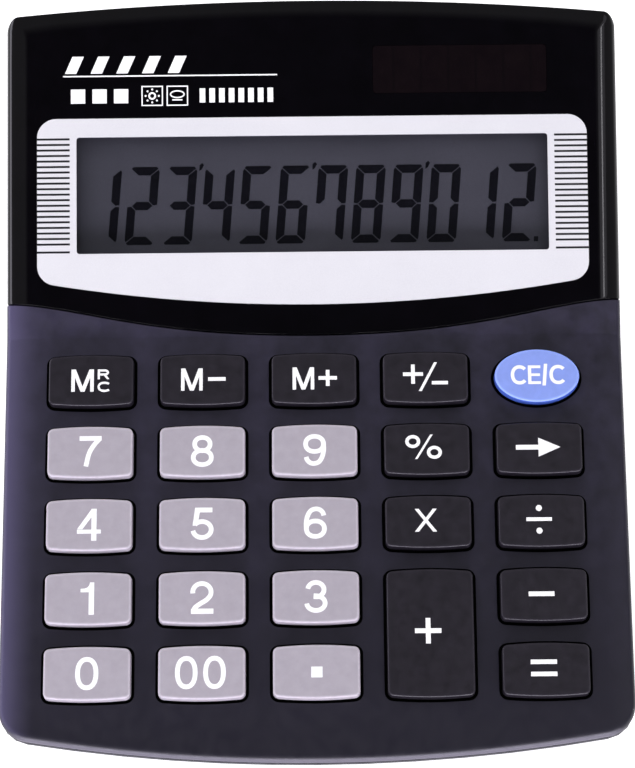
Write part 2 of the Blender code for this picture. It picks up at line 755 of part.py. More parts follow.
def display_parts():
    lens = flat_shape("display_lens", [lens_outline()], -LENS_THICK, 0, PARTS)
    finished(lens, "lens_plastic", HEAD)
    outline = rounded_rectangle(*SOLAR_WINDOW_SIZE, 0.5 * MM, SOLAR_CENTRE)
    window = flat_shape("solar_window", [outline], -COVER_THICK, 0, PARTS)
    finished(window, "window_plastic", HEAD)
    top = -COVER_THICK - GAP
    lcd = flat_shape("lcd_panel", [rounded_rectangle(*LCD_SIZE, 0.4 * MM)], top - LCD_THICK, top, PARTS)
    finished(lcd, "lcd_glass", HEAD)
    top = top - LCD_THICK - GAP
    outer = rounded_rectangle(88 * MM, 29 * MM, 1 * MM)
    inner = rounded_rectangle(76 * MM, 17 * MM, 1 * MM)
    holder = flat_shape("lcd_holder", [outer, inner], top - 1.2 * MM, top, PARTS)
    finished(holder, "white_plastic", HEAD)
    top = -COVER_THICK - GAP
    outline = rounded_rectangle(*SOLAR_CELL_SIZE, 0.3 * MM, SOLAR_CENTRE)
    cell = flat_shape("solar_cell", [outline], top - 1.1 * MM, top, PARTS)
    finished(cell, "solar_glass", HEAD)


def lcd_ribbon():
    """A flat film from the front of the display down to the back edge of the board."""
    start = (20.5 * MM, head_height(20.5 * MM, 7.2 * MM))
    bend = (13.0 * MM, 13.7 * MM)
    end = (7.8 * MM, deck_height(7.8 * MM, -BOARD_TOP - 0.65 * MM))
    lean = 0.3 * MM
    route = [quadratic(start, bend, end, i / 6) for i in range(7)]
    film = route + [(y, z - lean) for y, z in reversed(route)]
    ribbon = side_shape("lcd_ribbon", film, PARTS)
    ribbon.data.transform(Matrix.Diagonal((0.29, 1, 1, 1)))
    finished(ribbon, "ribbon_film")


def quadratic(start, bend, end, share):
    rest = 1 - share
    weights = (rest**2, 2 * rest * share, share**2)
    return tuple(sum(w * p[i] for w, p in zip(weights, (start, bend, end))) for i in range(len(start)))


# ---------------------------------------------------------------- keypad


def keys():
    for name, finish, x, y, depth in key_places():
        cap = flat_shape(name, [key_outline(name, depth)], KEY_FLANGE_LOW, KEY_RISE, PARTS)
        bevel(cap, KEY_EDGE, 1, lambda middle: middle.z > KEY_RISE - GAP)
        cap = realised(cap)
        outline = key_outline(name, depth, KEY_FLANGE)
        low = KEY_FLANGE_LOW - 0.1 * MM
        flange = flat_shape(f"{name}_flange", [outline], low, KEY_FLANGE_TOP, CUTTERS)
        flange.parent = DECK
        flange.location = (x, y, 0)
        boolean(cap, flange, "UNION")
        finished(cap, finish, DECK, (x, y, 0))


def key_mat():
    low, high = MAT_ENDS
    outline = rounded_rectangle(MAT_WIDTH, high - low, 2 * MM, (0, (low + high) / 2))
    sheet = flat_shape("key_mat", [outline], MAT_LOW, MAT_TOP, PARTS)
    domes = [
        cone("dome", 3.4 * MM, 2.2 * MM, MAT_TOP - 0.4 * MM, DOME_TOP - 0.1 * MM, CUTTERS, (x, y), 10)
        for _, _, x, y, _ in key_places()
    ]
    domes = joined("key_domes", domes)
    domes.parent = DECK
    sheet.parent = DECK
    boolean(sheet, domes, "UNION", "MANIFOLD")
    finished(sheet, "silicone", DECK)


def board():
    low, high = BOARD_ENDS
    outline = rounded_rectangle(BOARD_WIDTH, high - low, BOARD_CORNER, (0, (low + high) / 2))
    plate = flat_shape("main_board", [outline], BOARD_LOW, BOARD_TOP, PARTS)
    ear_y = low - BOARD_EAR[1] / 2 + OVERLAP
    ear_z = (BOARD_TOP + BOARD_LOW) / 2
    ear_size = (*BOARD_EAR, BOARD_TOP - BOARD_LOW)
    ears = [box("ear", ear_size, (x * MM, ear_y, ear_z), CUTTERS) for x, _ in BOARD_SCREWS[:2]]
    ears = joined("board_ears", ears)
    ears.parent = DECK
    boolean(plate, ears, "UNION")
    holes = [post(BOARD_HOLE, 2 * BOARD_LOW, BOARD_TOP / 2, (x * MM, y * MM)) for x, y in BOARD_SCREWS]
    holes = joined("board_hole_cutter", holes)
    holes.parent = DECK
    plate.parent = DECK
    boolean(plate, holes, "DIFFERENCE")
    finished(plate, "board_laminate", DECK)

    top = BOARD_LOW - GAP
    blob = cone("chip_cover", 3.6 * MM, 5.5 * MM, top - 1.3 * MM, top, PARTS, sides=20)
    finished(blob, "epoxy", DECK, (-14 * MM, -8 * MM, 0))
    can = cone("capacitor", 2.0 * MM, 2.0 * MM, -3 * MM, 3 * MM, PARTS, sides=16)
    can.data.transform(Matrix.Rotation(math.pi / 2, 4, "Y"))
    finished(can, "capacitor_sleeve", DECK, (22 * MM, -10 * MM, top - 2.0 * MM))


# ---------------------------------------------------------------- power


def wire(name, route, finish):
    """A wire along a smooth curve through its route's points."""
    curve = bpy.data.curves.new(name, "CURVE")
    curve.dimensions = "3D"
    curve.bevel_depth = 0.45 * MM
    curve.bevel_resolution = 1
    curve.use_fill_caps = True
    spline = curve.splines.new("POLY")
    points = smooth_route(route)
    spline.points.add(len(points) - 1)
    for point, place in zip(spline.points, points):
        point.co = (*place, 1)
    finished(realised(add_object(name, curve, PARTS)), finish)


def smooth_route(route, steps=4):
    """A Catmull-Rom curve through the points, given in millimetres."""
    ends = [route[0], *route, route[-1]]
    points = []
    for a, b, c, d in zip(ends, ends[1:], ends[2:], ends[3:]):
        for i in range(steps):
            points.append(tuple(spline_value(*values, i / steps) * MM for values in zip(a, b, c, d)))
    points.append(tuple(value * MM for value in route[-1]))
    return points


def spline_value(a, b, c, d, t):
    return 0.5 * (2 * b + (c - a) * t + (2 * a - 5 * b + 4 * c - d) * t**2 + (3 * b - a - 3 * c + d) * t**3)


def power_parts():
    x, y = CELL_CENTRE
    cell = cone("battery_cell", CELL_RADIUS, CELL_RADIUS, 4.6 * MM, 7.7 * MM, PARTS, sides=28)
    finished(cell, "cell_steel", location=(x, y, 0))
    over = box("battery_contact_negative", (4 * MM, 17 * MM, 0.4 * MM), (0, 0, 8.5 * MM), PARTS)
    finished(over, "contact_steel", location=(x, y, 0))
    side = box("battery_contact_positive", (0.4 * MM, 3 * MM, 5.0 * MM), (6.4 * MM, 0, 8.1 * MM), PARTS)
    finished(side, "contact_steel", location=(x, y, 0))
    for name, finish, route in WIRES:
        wire(name, route, finish)


clear_scene()
PARTS = collection("desk_calculator")
CUTTERS = collection("cutters")
DECK = frame_empty("deck_frame", DECK_POINT, DECK_SLOPE)
HEAD = frame_empty("head_frame", HEAD_POINT, HEAD_SLOPE)
front_housing()
back_cover()
battery_cover()
feet_and_screws()
display_cover()
display_parts()
lcd_ribbon()
keys()
key_mat()
board()
power_parts()
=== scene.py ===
"""Looks of the desk calculator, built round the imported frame.

Every piece is made in metres in the frame's own axes. The keypad's pieces are drawn in the deck
frame and the display's in the head frame, then moved into place, so all objects sit at the origin.
"""

import math

import bmesh
import bpy
from mathutils import Matrix, Vector


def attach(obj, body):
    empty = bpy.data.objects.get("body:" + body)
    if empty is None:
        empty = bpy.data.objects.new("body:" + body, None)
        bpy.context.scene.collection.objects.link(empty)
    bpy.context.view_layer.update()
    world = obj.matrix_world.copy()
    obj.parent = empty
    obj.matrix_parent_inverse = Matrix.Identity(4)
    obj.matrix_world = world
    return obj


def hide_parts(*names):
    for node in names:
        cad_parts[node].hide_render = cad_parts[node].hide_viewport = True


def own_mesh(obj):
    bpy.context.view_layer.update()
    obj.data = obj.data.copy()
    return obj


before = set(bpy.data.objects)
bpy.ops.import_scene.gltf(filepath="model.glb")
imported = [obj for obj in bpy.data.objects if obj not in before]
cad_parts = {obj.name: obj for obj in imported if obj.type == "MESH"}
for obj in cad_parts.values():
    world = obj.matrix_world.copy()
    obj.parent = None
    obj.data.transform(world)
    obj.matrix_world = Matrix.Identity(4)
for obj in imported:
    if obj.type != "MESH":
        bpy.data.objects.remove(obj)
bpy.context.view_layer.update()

MM = 0.001

# Case, as in the CAD
WIDTH = 102.0 * MM
HALF_LENGTH = 62.08 * MM
FRONT_BOW_RADIUS = 289 * MM
REAR_BOW_RADIUS = 556 * MM
FRONT_CORNER_RADIUS = 5.5 * MM
REAR_CORNER_RADIUS = 2.2 * MM
LEAST_RADIUS = 0.5 * MM
WALL = 1.8 * MM
GAP = 0.3 * MM
DECK_SLOPE = math.radians(6.5)
DECK_POINT = Vector((0, 2.07 * MM, 17.3 * MM))
HEAD_SLOPE = math.radians(17.97)
HEAD_POINT = Vector((0, 30.808 * MM, 25.358 * MM))
DECK_SKIN = 1.6 * MM
FRONT_SKIRT = 1.2 * MM
MIDDLE_SKIRT = 4.9 * MM
REAR_SKIRT = 7.0 * MM
COVER_THICK = 2.6 * MM
LIP_CENTRE_Y = 8.4 * MM
LIP_SWEEP = 5.3 * MM
CASE_EDGE = 0.75 * MM
FRONT_EDGE = (1.1 * MM, 1.0 * MM)
CREASE_ROUND = 3.4 * MM
RIM_WIDTH = 3.8 * MM
RIM_DROP = 1.1 * MM
COVER_EDGE = (0.9 * MM, 0.55 * MM)
BACK_RIM_DROP = 0.45 * MM
DECK_RIM_WIDTH = 4.6 * MM
DECK_RIM_DROP = 0.55 * MM
OPENING_EDGE = 0.14 * MM
LIP_EDGE = 0.45 * MM

# Beyond the case, so that cuts pass right through
HEAD_REACH = WIDTH / 2 + 3 * MM
SIDE_REACH = 70 * MM

# Fineness of the case's surface
SIDE_POINTS = 40
ROLL_STEPS = 18

# Display
LENS_HALF_WIDTH = 45.87 * MM
LENS_TOP = 12.94 * MM
LENS_BOTTOM = -18.57 * MM
LENS_BOW_RADIUS = 262 * MM
LENS_CORNER_RADIUS = 3.2 * MM
LENS_GAP = 0.1 * MM
PRINT_THICK = 0.35 * MM
WINDOW_SIZE = (78.6 * MM, 19.6 * MM)
SOLAR_CENTRE = (24.8 * MM, 20.8 * MM)
SOLAR_WINDOW_SIZE = (29.0 * MM, 8.0 * MM)
LCD_BAY = (84.6 * MM, 25.6 * MM)
SOLAR_BAY = (31.6 * MM, 10.6 * MM)
BAY_CORNER = 0.8 * MM
WINDOW_CORNER = 0.5 * MM
PRINT_LEVELS = (-0.03 * MM, 0.012 * MM)

# Keys
KEY_WIDTH = 14.0 * MM
KEY_DEPTH = 8.76 * MM
CLEAR_KEY_DEPTH = 9.1 * MM
KEY_RISE = 1.8 * MM
KEY_BOW = 0.38 * MM
KEY_CORNER = 1.0 * MM
KEY_EDGE = 0.24 * MM
KEY_DRAFT = 0.05 * MM
KEY_GAP = 0.42 * MM
OPENING_EXTRA = 0.07 * MM
SEAM_EXTRA = 0.2 * MM
KEY_FLANGE = 0.8 * MM
KEY_FLANGE_TOP = -1.9 * MM
KEY_FLANGE_LOW = -2.6 * MM
MAT_TOP = -4.1 * MM
MAT_LOW = -4.8 * MM
MAT_WIDTH = 88.0 * MM
MAT_ENDS = (-54.4 * MM, 3.4 * MM)
DOME_SHAPE = [
    (radius * MM, height * MM)
    for radius, height in ((3.4, -4.3), (3.4, -4.1), (3.15, -3.75), (2.75, -3.3), (2.45, -3.0), (2.1, -2.9))
]
DOME_SIDES = 24
COLUMN_PITCH = 18.33 * MM
ROW_PITCH = 12.17 * MM
TOP_ROW = -1.77 * MM
CLEAR_KEY_SHIFT = 0.15 * MM
LEGEND_PROUD = 0.02 * MM
LEGEND_DEEP = 0.2 * MM
PAD_HALF_WIDTH = 45 * MM
PAD_ENDS = (-56 * MM, 4 * MM)

DECK = Matrix.Translation(DECK_POINT) @ Matrix.Rotation(DECK_SLOPE, 4, "X")
HEAD = Matrix.Translation(HEAD_POINT) @ Matrix.Rotation(HEAD_SLOPE, 4, "X")
DECK_UP = DECK.to_3x3() @ Vector((0, 0, 1))

LIGHT_KEYS = {f"key_{n}" for n in (*"0123456789", "00", "point")}


# ---------------- mesh helpers


def add_object(name, mesh):
    obj = bpy.data.objects.new(name, mesh)
    bpy.context.scene.collection.objects.link(obj)
    return obj


def new_object(name, bm, place=None):
    mesh = bpy.data.meshes.new(name)
    bmesh.ops.recalc_face_normals(bm, faces=bm.faces)
    bm.to_mesh(mesh)
    bm.free()
    if place is not None:
        mesh.transform(place)
    return add_object(name, mesh)


def realised(obj):
    """Applies the object's modifiers, or turns its curve into a mesh, and welds what coincides."""
    bpy.context.view_layer.update()
    graph = bpy.context.evaluated_depsgraph_get()
    mesh = bpy.data.meshes.new_from_object(obj.evaluated_get(graph))
    bm = bmesh.new()
    bm.from_mesh(mesh)
    bmesh.ops.remove_doubles(bm, verts=bm.verts, dist=0.0005 * MM)
    bm.to_mesh(mesh)
    bm.free()
    name = obj.name
    bpy.data.objects.remove(obj, do_unlink=True)
    return add_object(name, mesh)


def modified(obj, kind, **settings):
    modifier = obj.modifiers.new(kind, kind)
    for key, value in settings.items():
        setattr(modifier, key, value)
    return obj


def boolean(obj, other, operation="DIFFERENCE", solver="EXACT"):
    """Applies a Boolean at once and removes the other object."""
    made = realised(modified(obj, "BOOLEAN", operation=operation, solver=solver, object=other))
    bpy.data.objects.remove(other, do_unlink=True)
    return made


def bevel(obj, width, segments, chosen, sharp):
    """Rounds the edges sharper than an angle in degrees that are chosen by their middle point."""
    bm = bmesh.new()
    bm.from_mesh(obj.data)
    weight = bm.edges.layers.float.new("bevel_weight_edge")
    for edge in bm.edges:
        middle = (edge.verts[0].co + edge.verts[1].co) / 2
        if len(edge.link_faces) == 2 and edge.calc_face_angle() > math.radians(sharp) and chosen(middle):
            edge[weight] = 1.0
    bm.to_mesh(obj.data)
    bm.free()
    return realised(modified(obj, "BEVEL", width=width, segments=segments, limit_method="WEIGHT"))


def smooth(obj, angle=40):
    """Smooth shading that keeps flat faces flat."""
    obj.data.shade_smooth()
    obj.data.set_sharp_from_angle(angle=math.radians(angle))
    return modified(obj, "WEIGHTED_NORMAL", keep_sharp=True)


def prism(name, outlines, low, high, place=None):
    """A flat shape from closed outlines, the inner ones being holes."""
    curve = bpy.data.curves.new(name, "CURVE")
    curve.dimensions = "2D"
    curve.fill_mode = "BOTH"
    curve.extrude = (high - low) / 2
    for outline in outlines:
        spline = curve.splines.new("POLY")
        spline.points.add(len(outline) - 1)
        for point, (x, y) in zip(spline.points, outline):
            point.co = (x, y, 0, 1)
        spline.use_cyclic_u = True
    obj = realised(add_object(name, curve))
    obj.data.transform(Matrix.Translation((0, 0, (low + high) / 2)))
    if place is not None:
        obj.data.transform(place)
    return obj


def side_prism(name, outline):
    """A profile of (y, z) points run right across the case."""
    obj = prism(name, [outline], -WIDTH, WIDTH)
    obj.data.transform(Matrix(((0, 0, 1, 0), (1, 0, 0, 0), (0, 1, 0, 0), (0, 0, 0, 1))))
    return obj


def lofted(name, rings, place=None):
    """A closed form through rings of the same number of points, from low to high."""
    bm = bmesh.new()
    rows = [[bm.verts.new(point) for point in ring] for ring in rings]
    count = len(rings[0])
    for lower, upper in zip(rows, rows[1:]):
        for i in range(count):
            after = (i + 1) % count
            bm.faces.new((lower[i], lower[after], upper[after], upper[i]))
    bm.faces.new(list(reversed(rows[0])))
    bm.faces.new(rows[-1])
    return new_object(name, bm, place)


def joined(name, objects):
    bm = bmesh.new()
    for obj in objects:
        bm.from_mesh(obj.data)
        bpy.data.objects.remove(obj, do_unlink=True)
    mesh = bpy.data.meshes.new(name)
    bm.to_mesh(mesh)
    bm.free()
    return add_object(name, mesh)


# ---------------- outlines


def arc(centre, radius, start, end, steps):
    angles = (start + (end - start) * i / steps for i in range(steps + 1))
    return [(centre[0] + radius * math.cos(a), centre[1] + radius * math.sin(a)) for a in angles]


def mirrored(right_half):
    return right_half + [(-x, y) for x, y in reversed(right_half[1:-1])]


def bowed_edge(half_width, edge, bow_radius, radius, steps, corner_steps):
    """The lower right quarter of an outline: a bow about X = 0, then a corner."""
    bow_centre = edge + bow_radius
    corner_x = half_width - radius
    corner_y = bow_centre - math.sqrt((bow_radius - radius) ** 2 - corner_x**2)
    meeting = math.atan2(corner_y - bow_centre, corner_x)
    bow = arc((0, bow_centre), bow_radius, -math.pi / 2, meeting, steps)
    return bow + arc((corner_x, corner_y), radius, meeting, 0, corner_steps)[1:]


def case_outline(inset=0.0, sides=0):
    """The case in plan, with that many extra points along each side."""
    half = WIDTH / 2 - inset
    edge = inset - HALF_LENGTH
    front_radius = max(FRONT_CORNER_RADIUS - inset, LEAST_RADIUS)
    rear_radius = max(REAR_CORNER_RADIUS - inset, LEAST_RADIUS)
    front = bowed_edge(half, edge, FRONT_BOW_RADIUS, front_radius, 24, 14)
    rear = bowed_edge(half, edge, REAR_BOW_RADIUS, rear_radius, 20, 10)
    rear = [(x, -y) for x, y in reversed(rear)]
    low, high = front[-1][1], rear[0][1]
    side = [(half, low + (high - low) * (i + 1) / (sides + 1)) for i in range(sides)]
    return mirrored(front + side + rear)


def rounded_box(width, depth, radius, centre=(0, 0), bow=0.0, corner_steps=6):
    half_width, half_depth = width / 2, depth / 2
    if bow:
        bow_radius = (half_width**2 + bow**2) / (2 * bow)
        quarter = bowed_edge(half_width, -half_depth, bow_radius, radius, 8, corner_steps)
        outline = mirrored(quarter + [(x, -y) for x, y in reversed(quarter)])
    else:
        corner = (half_width - radius, radius - half_depth)
        quarter = arc(corner, radius, -math.pi / 2, 0, corner_steps)
        right = quarter + [(x, -y) for x, y in reversed(quarter)]
        outline = right + [(-x, y) for x, y in reversed(right)]
    return [(x + centre[0], y + centre[1]) for x, y in outline]


def deck_height(y, below=0.0):
    return DECK_POINT.z + (y - DECK_POINT.y) * math.tan(DECK_SLOPE) - below


def head_height(y, below=0.0):
    return HEAD_POINT.z + (y - HEAD_POINT.y) * math.tan(HEAD_SLOPE) - below


def crease_y():
    return (deck_height(0) - head_height(0)) / (math.tan(HEAD_SLOPE) - math.tan(DECK_SLOPE))


def parting_height(y):
    """The joint between the front housing and the back cover."""
    crease = crease_y()
    front = (-HALF_LENGTH, deck_height(-HALF_LENGTH, FRONT_SKIRT))
    middle = (crease, deck_height(crease, MIDDLE_SKIRT))
    rear = (HALF_LENGTH, head_height(HALF_LENGTH, REAR_SKIRT))
    start, end = (front, middle) if y <= crease else (middle, rear)
    return start[1] + (end[1] - start[1]) * (y - start[0]) / (end[0] - start[0])


def lip_y(x):
    share = abs(x) / (WIDTH / 2)
    return LIP_CENTRE_Y + LIP_SWEEP * (share**2 + share**4 - share**6)


def head_outline(forward, reach):
    """In the head frame: from the cover's front edge, moved forward, to beyond the case's back."""
    steps = 72
    share = 1 / math.cos(HEAD_SLOPE)
    front = []
    for i in range(steps + 1):
        x = reach * (2 * i / steps - 1)
        within = min(max(x, -WIDTH / 2), WIDTH / 2)
        front.append((x, (lip_y(within) - HEAD_POINT.y) * share - forward))
    back = 45 * MM
    return front + [(reach, back), (-reach, back)]


def lens_outline(grow=0.0):
    half = LENS_HALF_WIDTH + grow
    radius = LENS_CORNER_RADIUS + grow
    front = bowed_edge(half, LENS_BOTTOM - grow, LENS_BOW_RADIUS, radius, 24, 12)
    corner = (half - radius, LENS_TOP + grow - radius)
    return mirrored(front + arc(corner, radius, 0, math.pi / 2, 12) + [(0, LENS_TOP + grow)])


def window_outline(grow, radius):
    width, depth = WINDOW_SIZE
    return rounded_box(width + grow, depth + grow, radius)


def key_outline(name, depth, grow, centre):
    """A bowed rectangle, or an ellipse for the clear key."""
    if name == "key_clear":
        half_width, half_depth = KEY_WIDTH / 2 + grow, CLEAR_KEY_DEPTH / 2 + grow
        turns = (2 * math.pi * i / 72 for i in range(72))
        return [(centre[0] + half_width * math.cos(a), centre[1] + half_depth * math.sin(a)) for a in turns]
    radius = max(KEY_CORNER + grow, 0.25 * MM)
    return rounded_box(KEY_WIDTH + 2 * grow, depth + 2 * grow, radius, centre, KEY_BOW)


KEY_ROWS = (
    ("key_mrc", "key_m_minus", "key_m_plus", "key_sign", "key_clear"),
    ("key_7", "key_8", "key_9", "key_percent", "key_backspace"),
    ("key_4", "key_5", "key_6", "key_multiply", "key_divide"),
    ("key_1", "key_2", "key_3", "key_plus", "key_minus"),
    ("key_0", "key_00", "key_point", None, "key_equals"),
)


def key_places():
    for row, keys in enumerate(KEY_ROWS):
        for column, key in enumerate(keys):
            if not key:
                continue
            is_tall = key == "key_plus"
            x = (column - 2) * COLUMN_PITCH
            y = TOP_ROW - (row + is_tall / 2) * ROW_PITCH + CLEAR_KEY_SHIFT * (key == "key_clear")
            yield key, x, y, KEY_DEPTH + is_tall * ROW_PITCH


# ---------------- materials


class Nodes:
    """The node tree of a new material, or of a world, with short ways to add and link nodes."""

    def __init__(self, name, owner=None, shader="Principled BSDF", place="Object"):
        self.owner = owner or bpy.data.materials.new(name)
        self.owner.use_nodes = True
        self.tree = self.owner.node_tree
        self.shader = self.tree.nodes[shader]
        self.place = self.add("ShaderNodeTexCoord").outputs[place]

    def connect(self, socket, value):
        """Links a socket to an output, or sets it to a value."""
        if isinstance(value, bpy.types.NodeSocket):
            self.tree.links.new(value, socket)
        else:
            socket.default_value = value

    def feed(self, node, **values):
        """Connects a node's inputs, named with _ for each space."""
        for key, value in values.items():
            self.connect(node.inputs[key.replace("_", " ")], value)
        return node

    def add(self, kind, **values):
        return self.feed(self.tree.nodes.new(kind), **values)

    def finish(self, **values):
        """The finished material, with these values on its shader."""
        self.feed(self.shader, **values)
        return self.owner

    def calculate(self, operation, values, kind="ShaderNodeMath"):
        """A Math or Vector Math node on links or numbers."""
        node = self.tree.nodes.new(kind)
        node.operation = operation
        for socket, value in zip(node.inputs, values):
            self.connect(socket, value)
        return node.outputs["Value"]

    def noise(self, size, detail=3.0, roughness=0.55, stretch=None):
        """Noise whose features are about that many metres across."""
        source = self.place
        if stretch:
            source = self.add("ShaderNodeMapping", Vector=source, Scale=stretch).outputs["Vector"]
        settings = {"Scale": 1 / size, "Detail": detail, "Roughness": roughness}
        return self.add("ShaderNodeTexNoise", Vector=source, **settings).outputs["Fac"]

    def spread(self, value, low, high, start=0.3, end=0.7):
        """Takes start to low and end to high, and holds there."""
        ends = {"From_Min": start, "From_Max": end, "To_Min": low, "To_Max": high}
        return self.add("ShaderNodeMapRange", Value=value, **ends).outputs["Result"]

    def mix(self, share, first, second):
        node = self.add("ShaderNodeMix")
        node.data_type = "RGBA"
        for name, value in (("A_Color", first), ("B_Color", second)):
            target = next(s for s in node.inputs if s.identifier == name)
            self.connect(target, (*value, 1.0) if isinstance(value, tuple) else value)
        self.connect(node.inputs["Factor"], share)
        return next(s for s in node.outputs if s.identifier == "Result_Color")

    def bump(self, height, depth):
        return self.add("ShaderNodeBump", Strength=1.0, Distance=depth, Height=height).outputs["Normal"]

    def specks(self, spacing, size, share):
        """1 on sparse round specks and 0 elsewhere."""
        cells = self.add("ShaderNodeTexVoronoi", Vector=self.place, Scale=1 / spacing)
        split = self.add("ShaderNodeSeparateColor", Color=cells.outputs["Color"])
        near = self.calculate("LESS_THAN", (cells.outputs["Distance"], size / spacing))
        few = self.calculate("LESS_THAN", (split.outputs["Red"], share))
        return self.calculate("MULTIPLY", (near, few))


def tone(colour, factor):
    return tuple(min(c * factor, 1.0) for c in colour)


def plastic(name, colour, rough, vary, grain, cloud, specular=0.5, dust=None, edge_highlight_tone=0, scatter=0, painted_light=0):
    """Moulded plastic: cloudy tone, fine grain, uneven gloss, and a few specks of dust, with a painted
    highlight along marked edges and painted light and shade on the case where asked.

    The grain's size and depth, the clouds and the specks' spacing and size are in millimetres."""
    nodes = Nodes(name)
    cloud *= MM
    clouds = nodes.spread(nodes.noise(cloud, 5.0, 0.6), 0, 1)
    base = nodes.mix(clouds, tone(colour, 1 - vary), tone(colour, 1 + vary))
    # Painted highlight: lighter colour, in patches, along the edges that the point attribute marks
    if edge_highlight_tone:
        edge = nodes.add("ShaderNodeAttribute")
        edge.attribute_name = "edge_highlight"
        patches = nodes.spread(nodes.noise(0.7 * MM, 4.0), 0.55, 1.0)
        share = nodes.calculate("MULTIPLY", (edge.outputs["Fac"], patches))
        base = nodes.mix(share, base, tone(colour, 1 + edge_highlight_tone))
    # Painted light and shade on the case: lighter to the left, darker to the front, painted highlights on the
    # left rim and the front edge
    if painted_light:
        base = painted_case_light(nodes, base, clouds, colour, painted_light)
    if dust:
        spacing, size, share = dust
        base = nodes.mix(nodes.specks(spacing * MM, size * MM, share), base, DUST_COLOUR)
    if scatter:
        nodes.finish(Subsurface_Weight=scatter, Subsurface_Radius=(1.0, 0.8, 0.7), Subsurface_Scale=0.4 * MM)
    size, depth = grain
    return nodes.finish(
        Base_Color=base,
        Roughness=nodes.spread(nodes.noise(cloud * 0.6, 4.0), *rough),
        Normal=nodes.bump(nodes.noise(size * MM, 2.0), depth * MM),
        Specular_IOR_Level=specular,
    )


def painted_case_light(nodes, base, clouds, colour, rim_highlight_tone):
    """Painted light and shade on the case: painted light making it paler to the left, painted shade making it
    darker to the front, and a painted highlight on the left rim and the front edge.
    """
    left, right = -WIDTH / 2, WIDTH / 2
    at = nodes.add("ShaderNodeSeparateXYZ", Vector=nodes.place).outputs
    pale = nodes.mix(clouds, tone(colour, PAINTED_LEFT_LIGHT_TONES[0]), tone(colour, PAINTED_LEFT_LIGHT_TONES[1]))
    base = nodes.mix(nodes.spread(at["X"], 1, 0, left, right), base, pale)
    to_front = nodes.spread(at["Y"], 1, 0, -HALF_LENGTH, 10 * MM)
    base = nodes.mix(to_front, base, tone(colour, PAINTED_FRONT_SHADE))
    normal = nodes.add("ShaderNodeTexCoord").outputs["Normal"]
    upward = nodes.spread(nodes.add("ShaderNodeSeparateXYZ", Vector=normal).outputs["Z"], 0, 1, 0.2, 0.85)
    rim = nodes.calculate("MULTIPLY", (nodes.spread(at["X"], 1, 0, left, left + PAINTED_RIM_HIGHLIGHT_WIDTH), upward))
    base = nodes.mix(nodes.calculate("POWER", (rim, 1.6)), base, tone(colour, rim_highlight_tone))
    facing = nodes.calculate("DOT_PRODUCT", (normal, FRONT_HIGHLIGHT_FACING), "ShaderNodeVectorMath")
    return nodes.mix(nodes.spread(facing, 0, 1, 0.75, 0.97), base, PAINTED_FRONT_HIGHLIGHT)


def metal(name, colour, rough, brush=(1, 1, 1)):
    """Bare metal, brushed along an axis or plain, with uneven gloss."""
    nodes = Nodes(name)
    lines = nodes.noise(0.25 * MM, 3.0, 0.6, brush)
    return nodes.finish(
        Base_Color=nodes.mix(nodes.spread(lines, 0, 1), tone(colour, 0.9), tone(colour, 1.06)),
        Roughness=nodes.spread(nodes.noise(1.5 * MM, 4.0), *rough),
        Normal=nodes.bump(lines, 0.004 * MM),
        Metallic=1.0,
    )


def silver_print():
    """Silver ink under clear plastic: pale, with a fine sparkle and a gloss of its own."""
    nodes = Nodes("silver_print")
    flakes = nodes.noise(0.12 * MM, 2.0, 0.7)
    slow = nodes.noise(9 * MM, 2.0)
    pale = nodes.mix(nodes.spread(flakes, 0, 1), (0.645, 0.64, 0.67), (0.735, 0.73, 0.76))
    return nodes.finish(
        Base_Color=nodes.mix(nodes.spread(slow, 0, 0.35), pale, (0.76, 0.755, 0.785)),
        Roughness=nodes.spread(flakes, 0.38, 0.5),
        Normal=nodes.bump(flakes, 0.003 * MM),
        Metallic=0.15, Coat_Weight=0.35, Coat_Roughness=0.12,
    )


def clear_pane():
    """A clear window: light passes straight through, and the surface keeps a thin gloss."""
    nodes = Nodes("clear_pane")
    ripple = nodes.bump(nodes.noise(6 * MM, 2.0), 0.004 * MM)
    passing = nodes.add("ShaderNodeBsdfTransparent", Color=(0.93, 0.94, 0.96, 1))
    gloss = nodes.add("ShaderNodeBsdfGlossy", Roughness=0.08, Normal=ripple)
    facing = nodes.add("ShaderNodeLayerWeight", Blend=0.5).outputs["Facing"]
    steep = nodes.calculate("POWER", (facing, 5))
    both = nodes.add("ShaderNodeMixShader")
    sources = (nodes.spread(steep, 0.02, 0.5, 0, 1), passing.outputs[0], gloss.outputs[0])
    for source, socket in zip(sources, both.inputs):
        nodes.connect(socket, source)
    nodes.feed(nodes.tree.nodes["Material Output"], Surface=both.outputs[0])
    return nodes.owner


def lcd_field():
    """The display's grey field: polariser haze and very fine electrode lines."""
    nodes = Nodes("lcd_field")
    fine = nodes.noise(0.2 * MM, 2.0, 0.5)
    haze = nodes.noise(14 * MM, 3.0, 0.5)
    grey = nodes.mix(nodes.spread(haze, 0, 1), (0.06, 0.057, 0.068), (0.073, 0.069, 0.082))
    return nodes.finish(
        Base_Color=nodes.mix(nodes.spread(fine, 0, 0.4), grey, (0.046, 0.044, 0.053)),
        Roughness=nodes.spread(fine, 0.34, 0.5),
        Normal=nodes.bump(fine, 0.003 * MM),
        Specular_IOR_Level=0.12,
    )


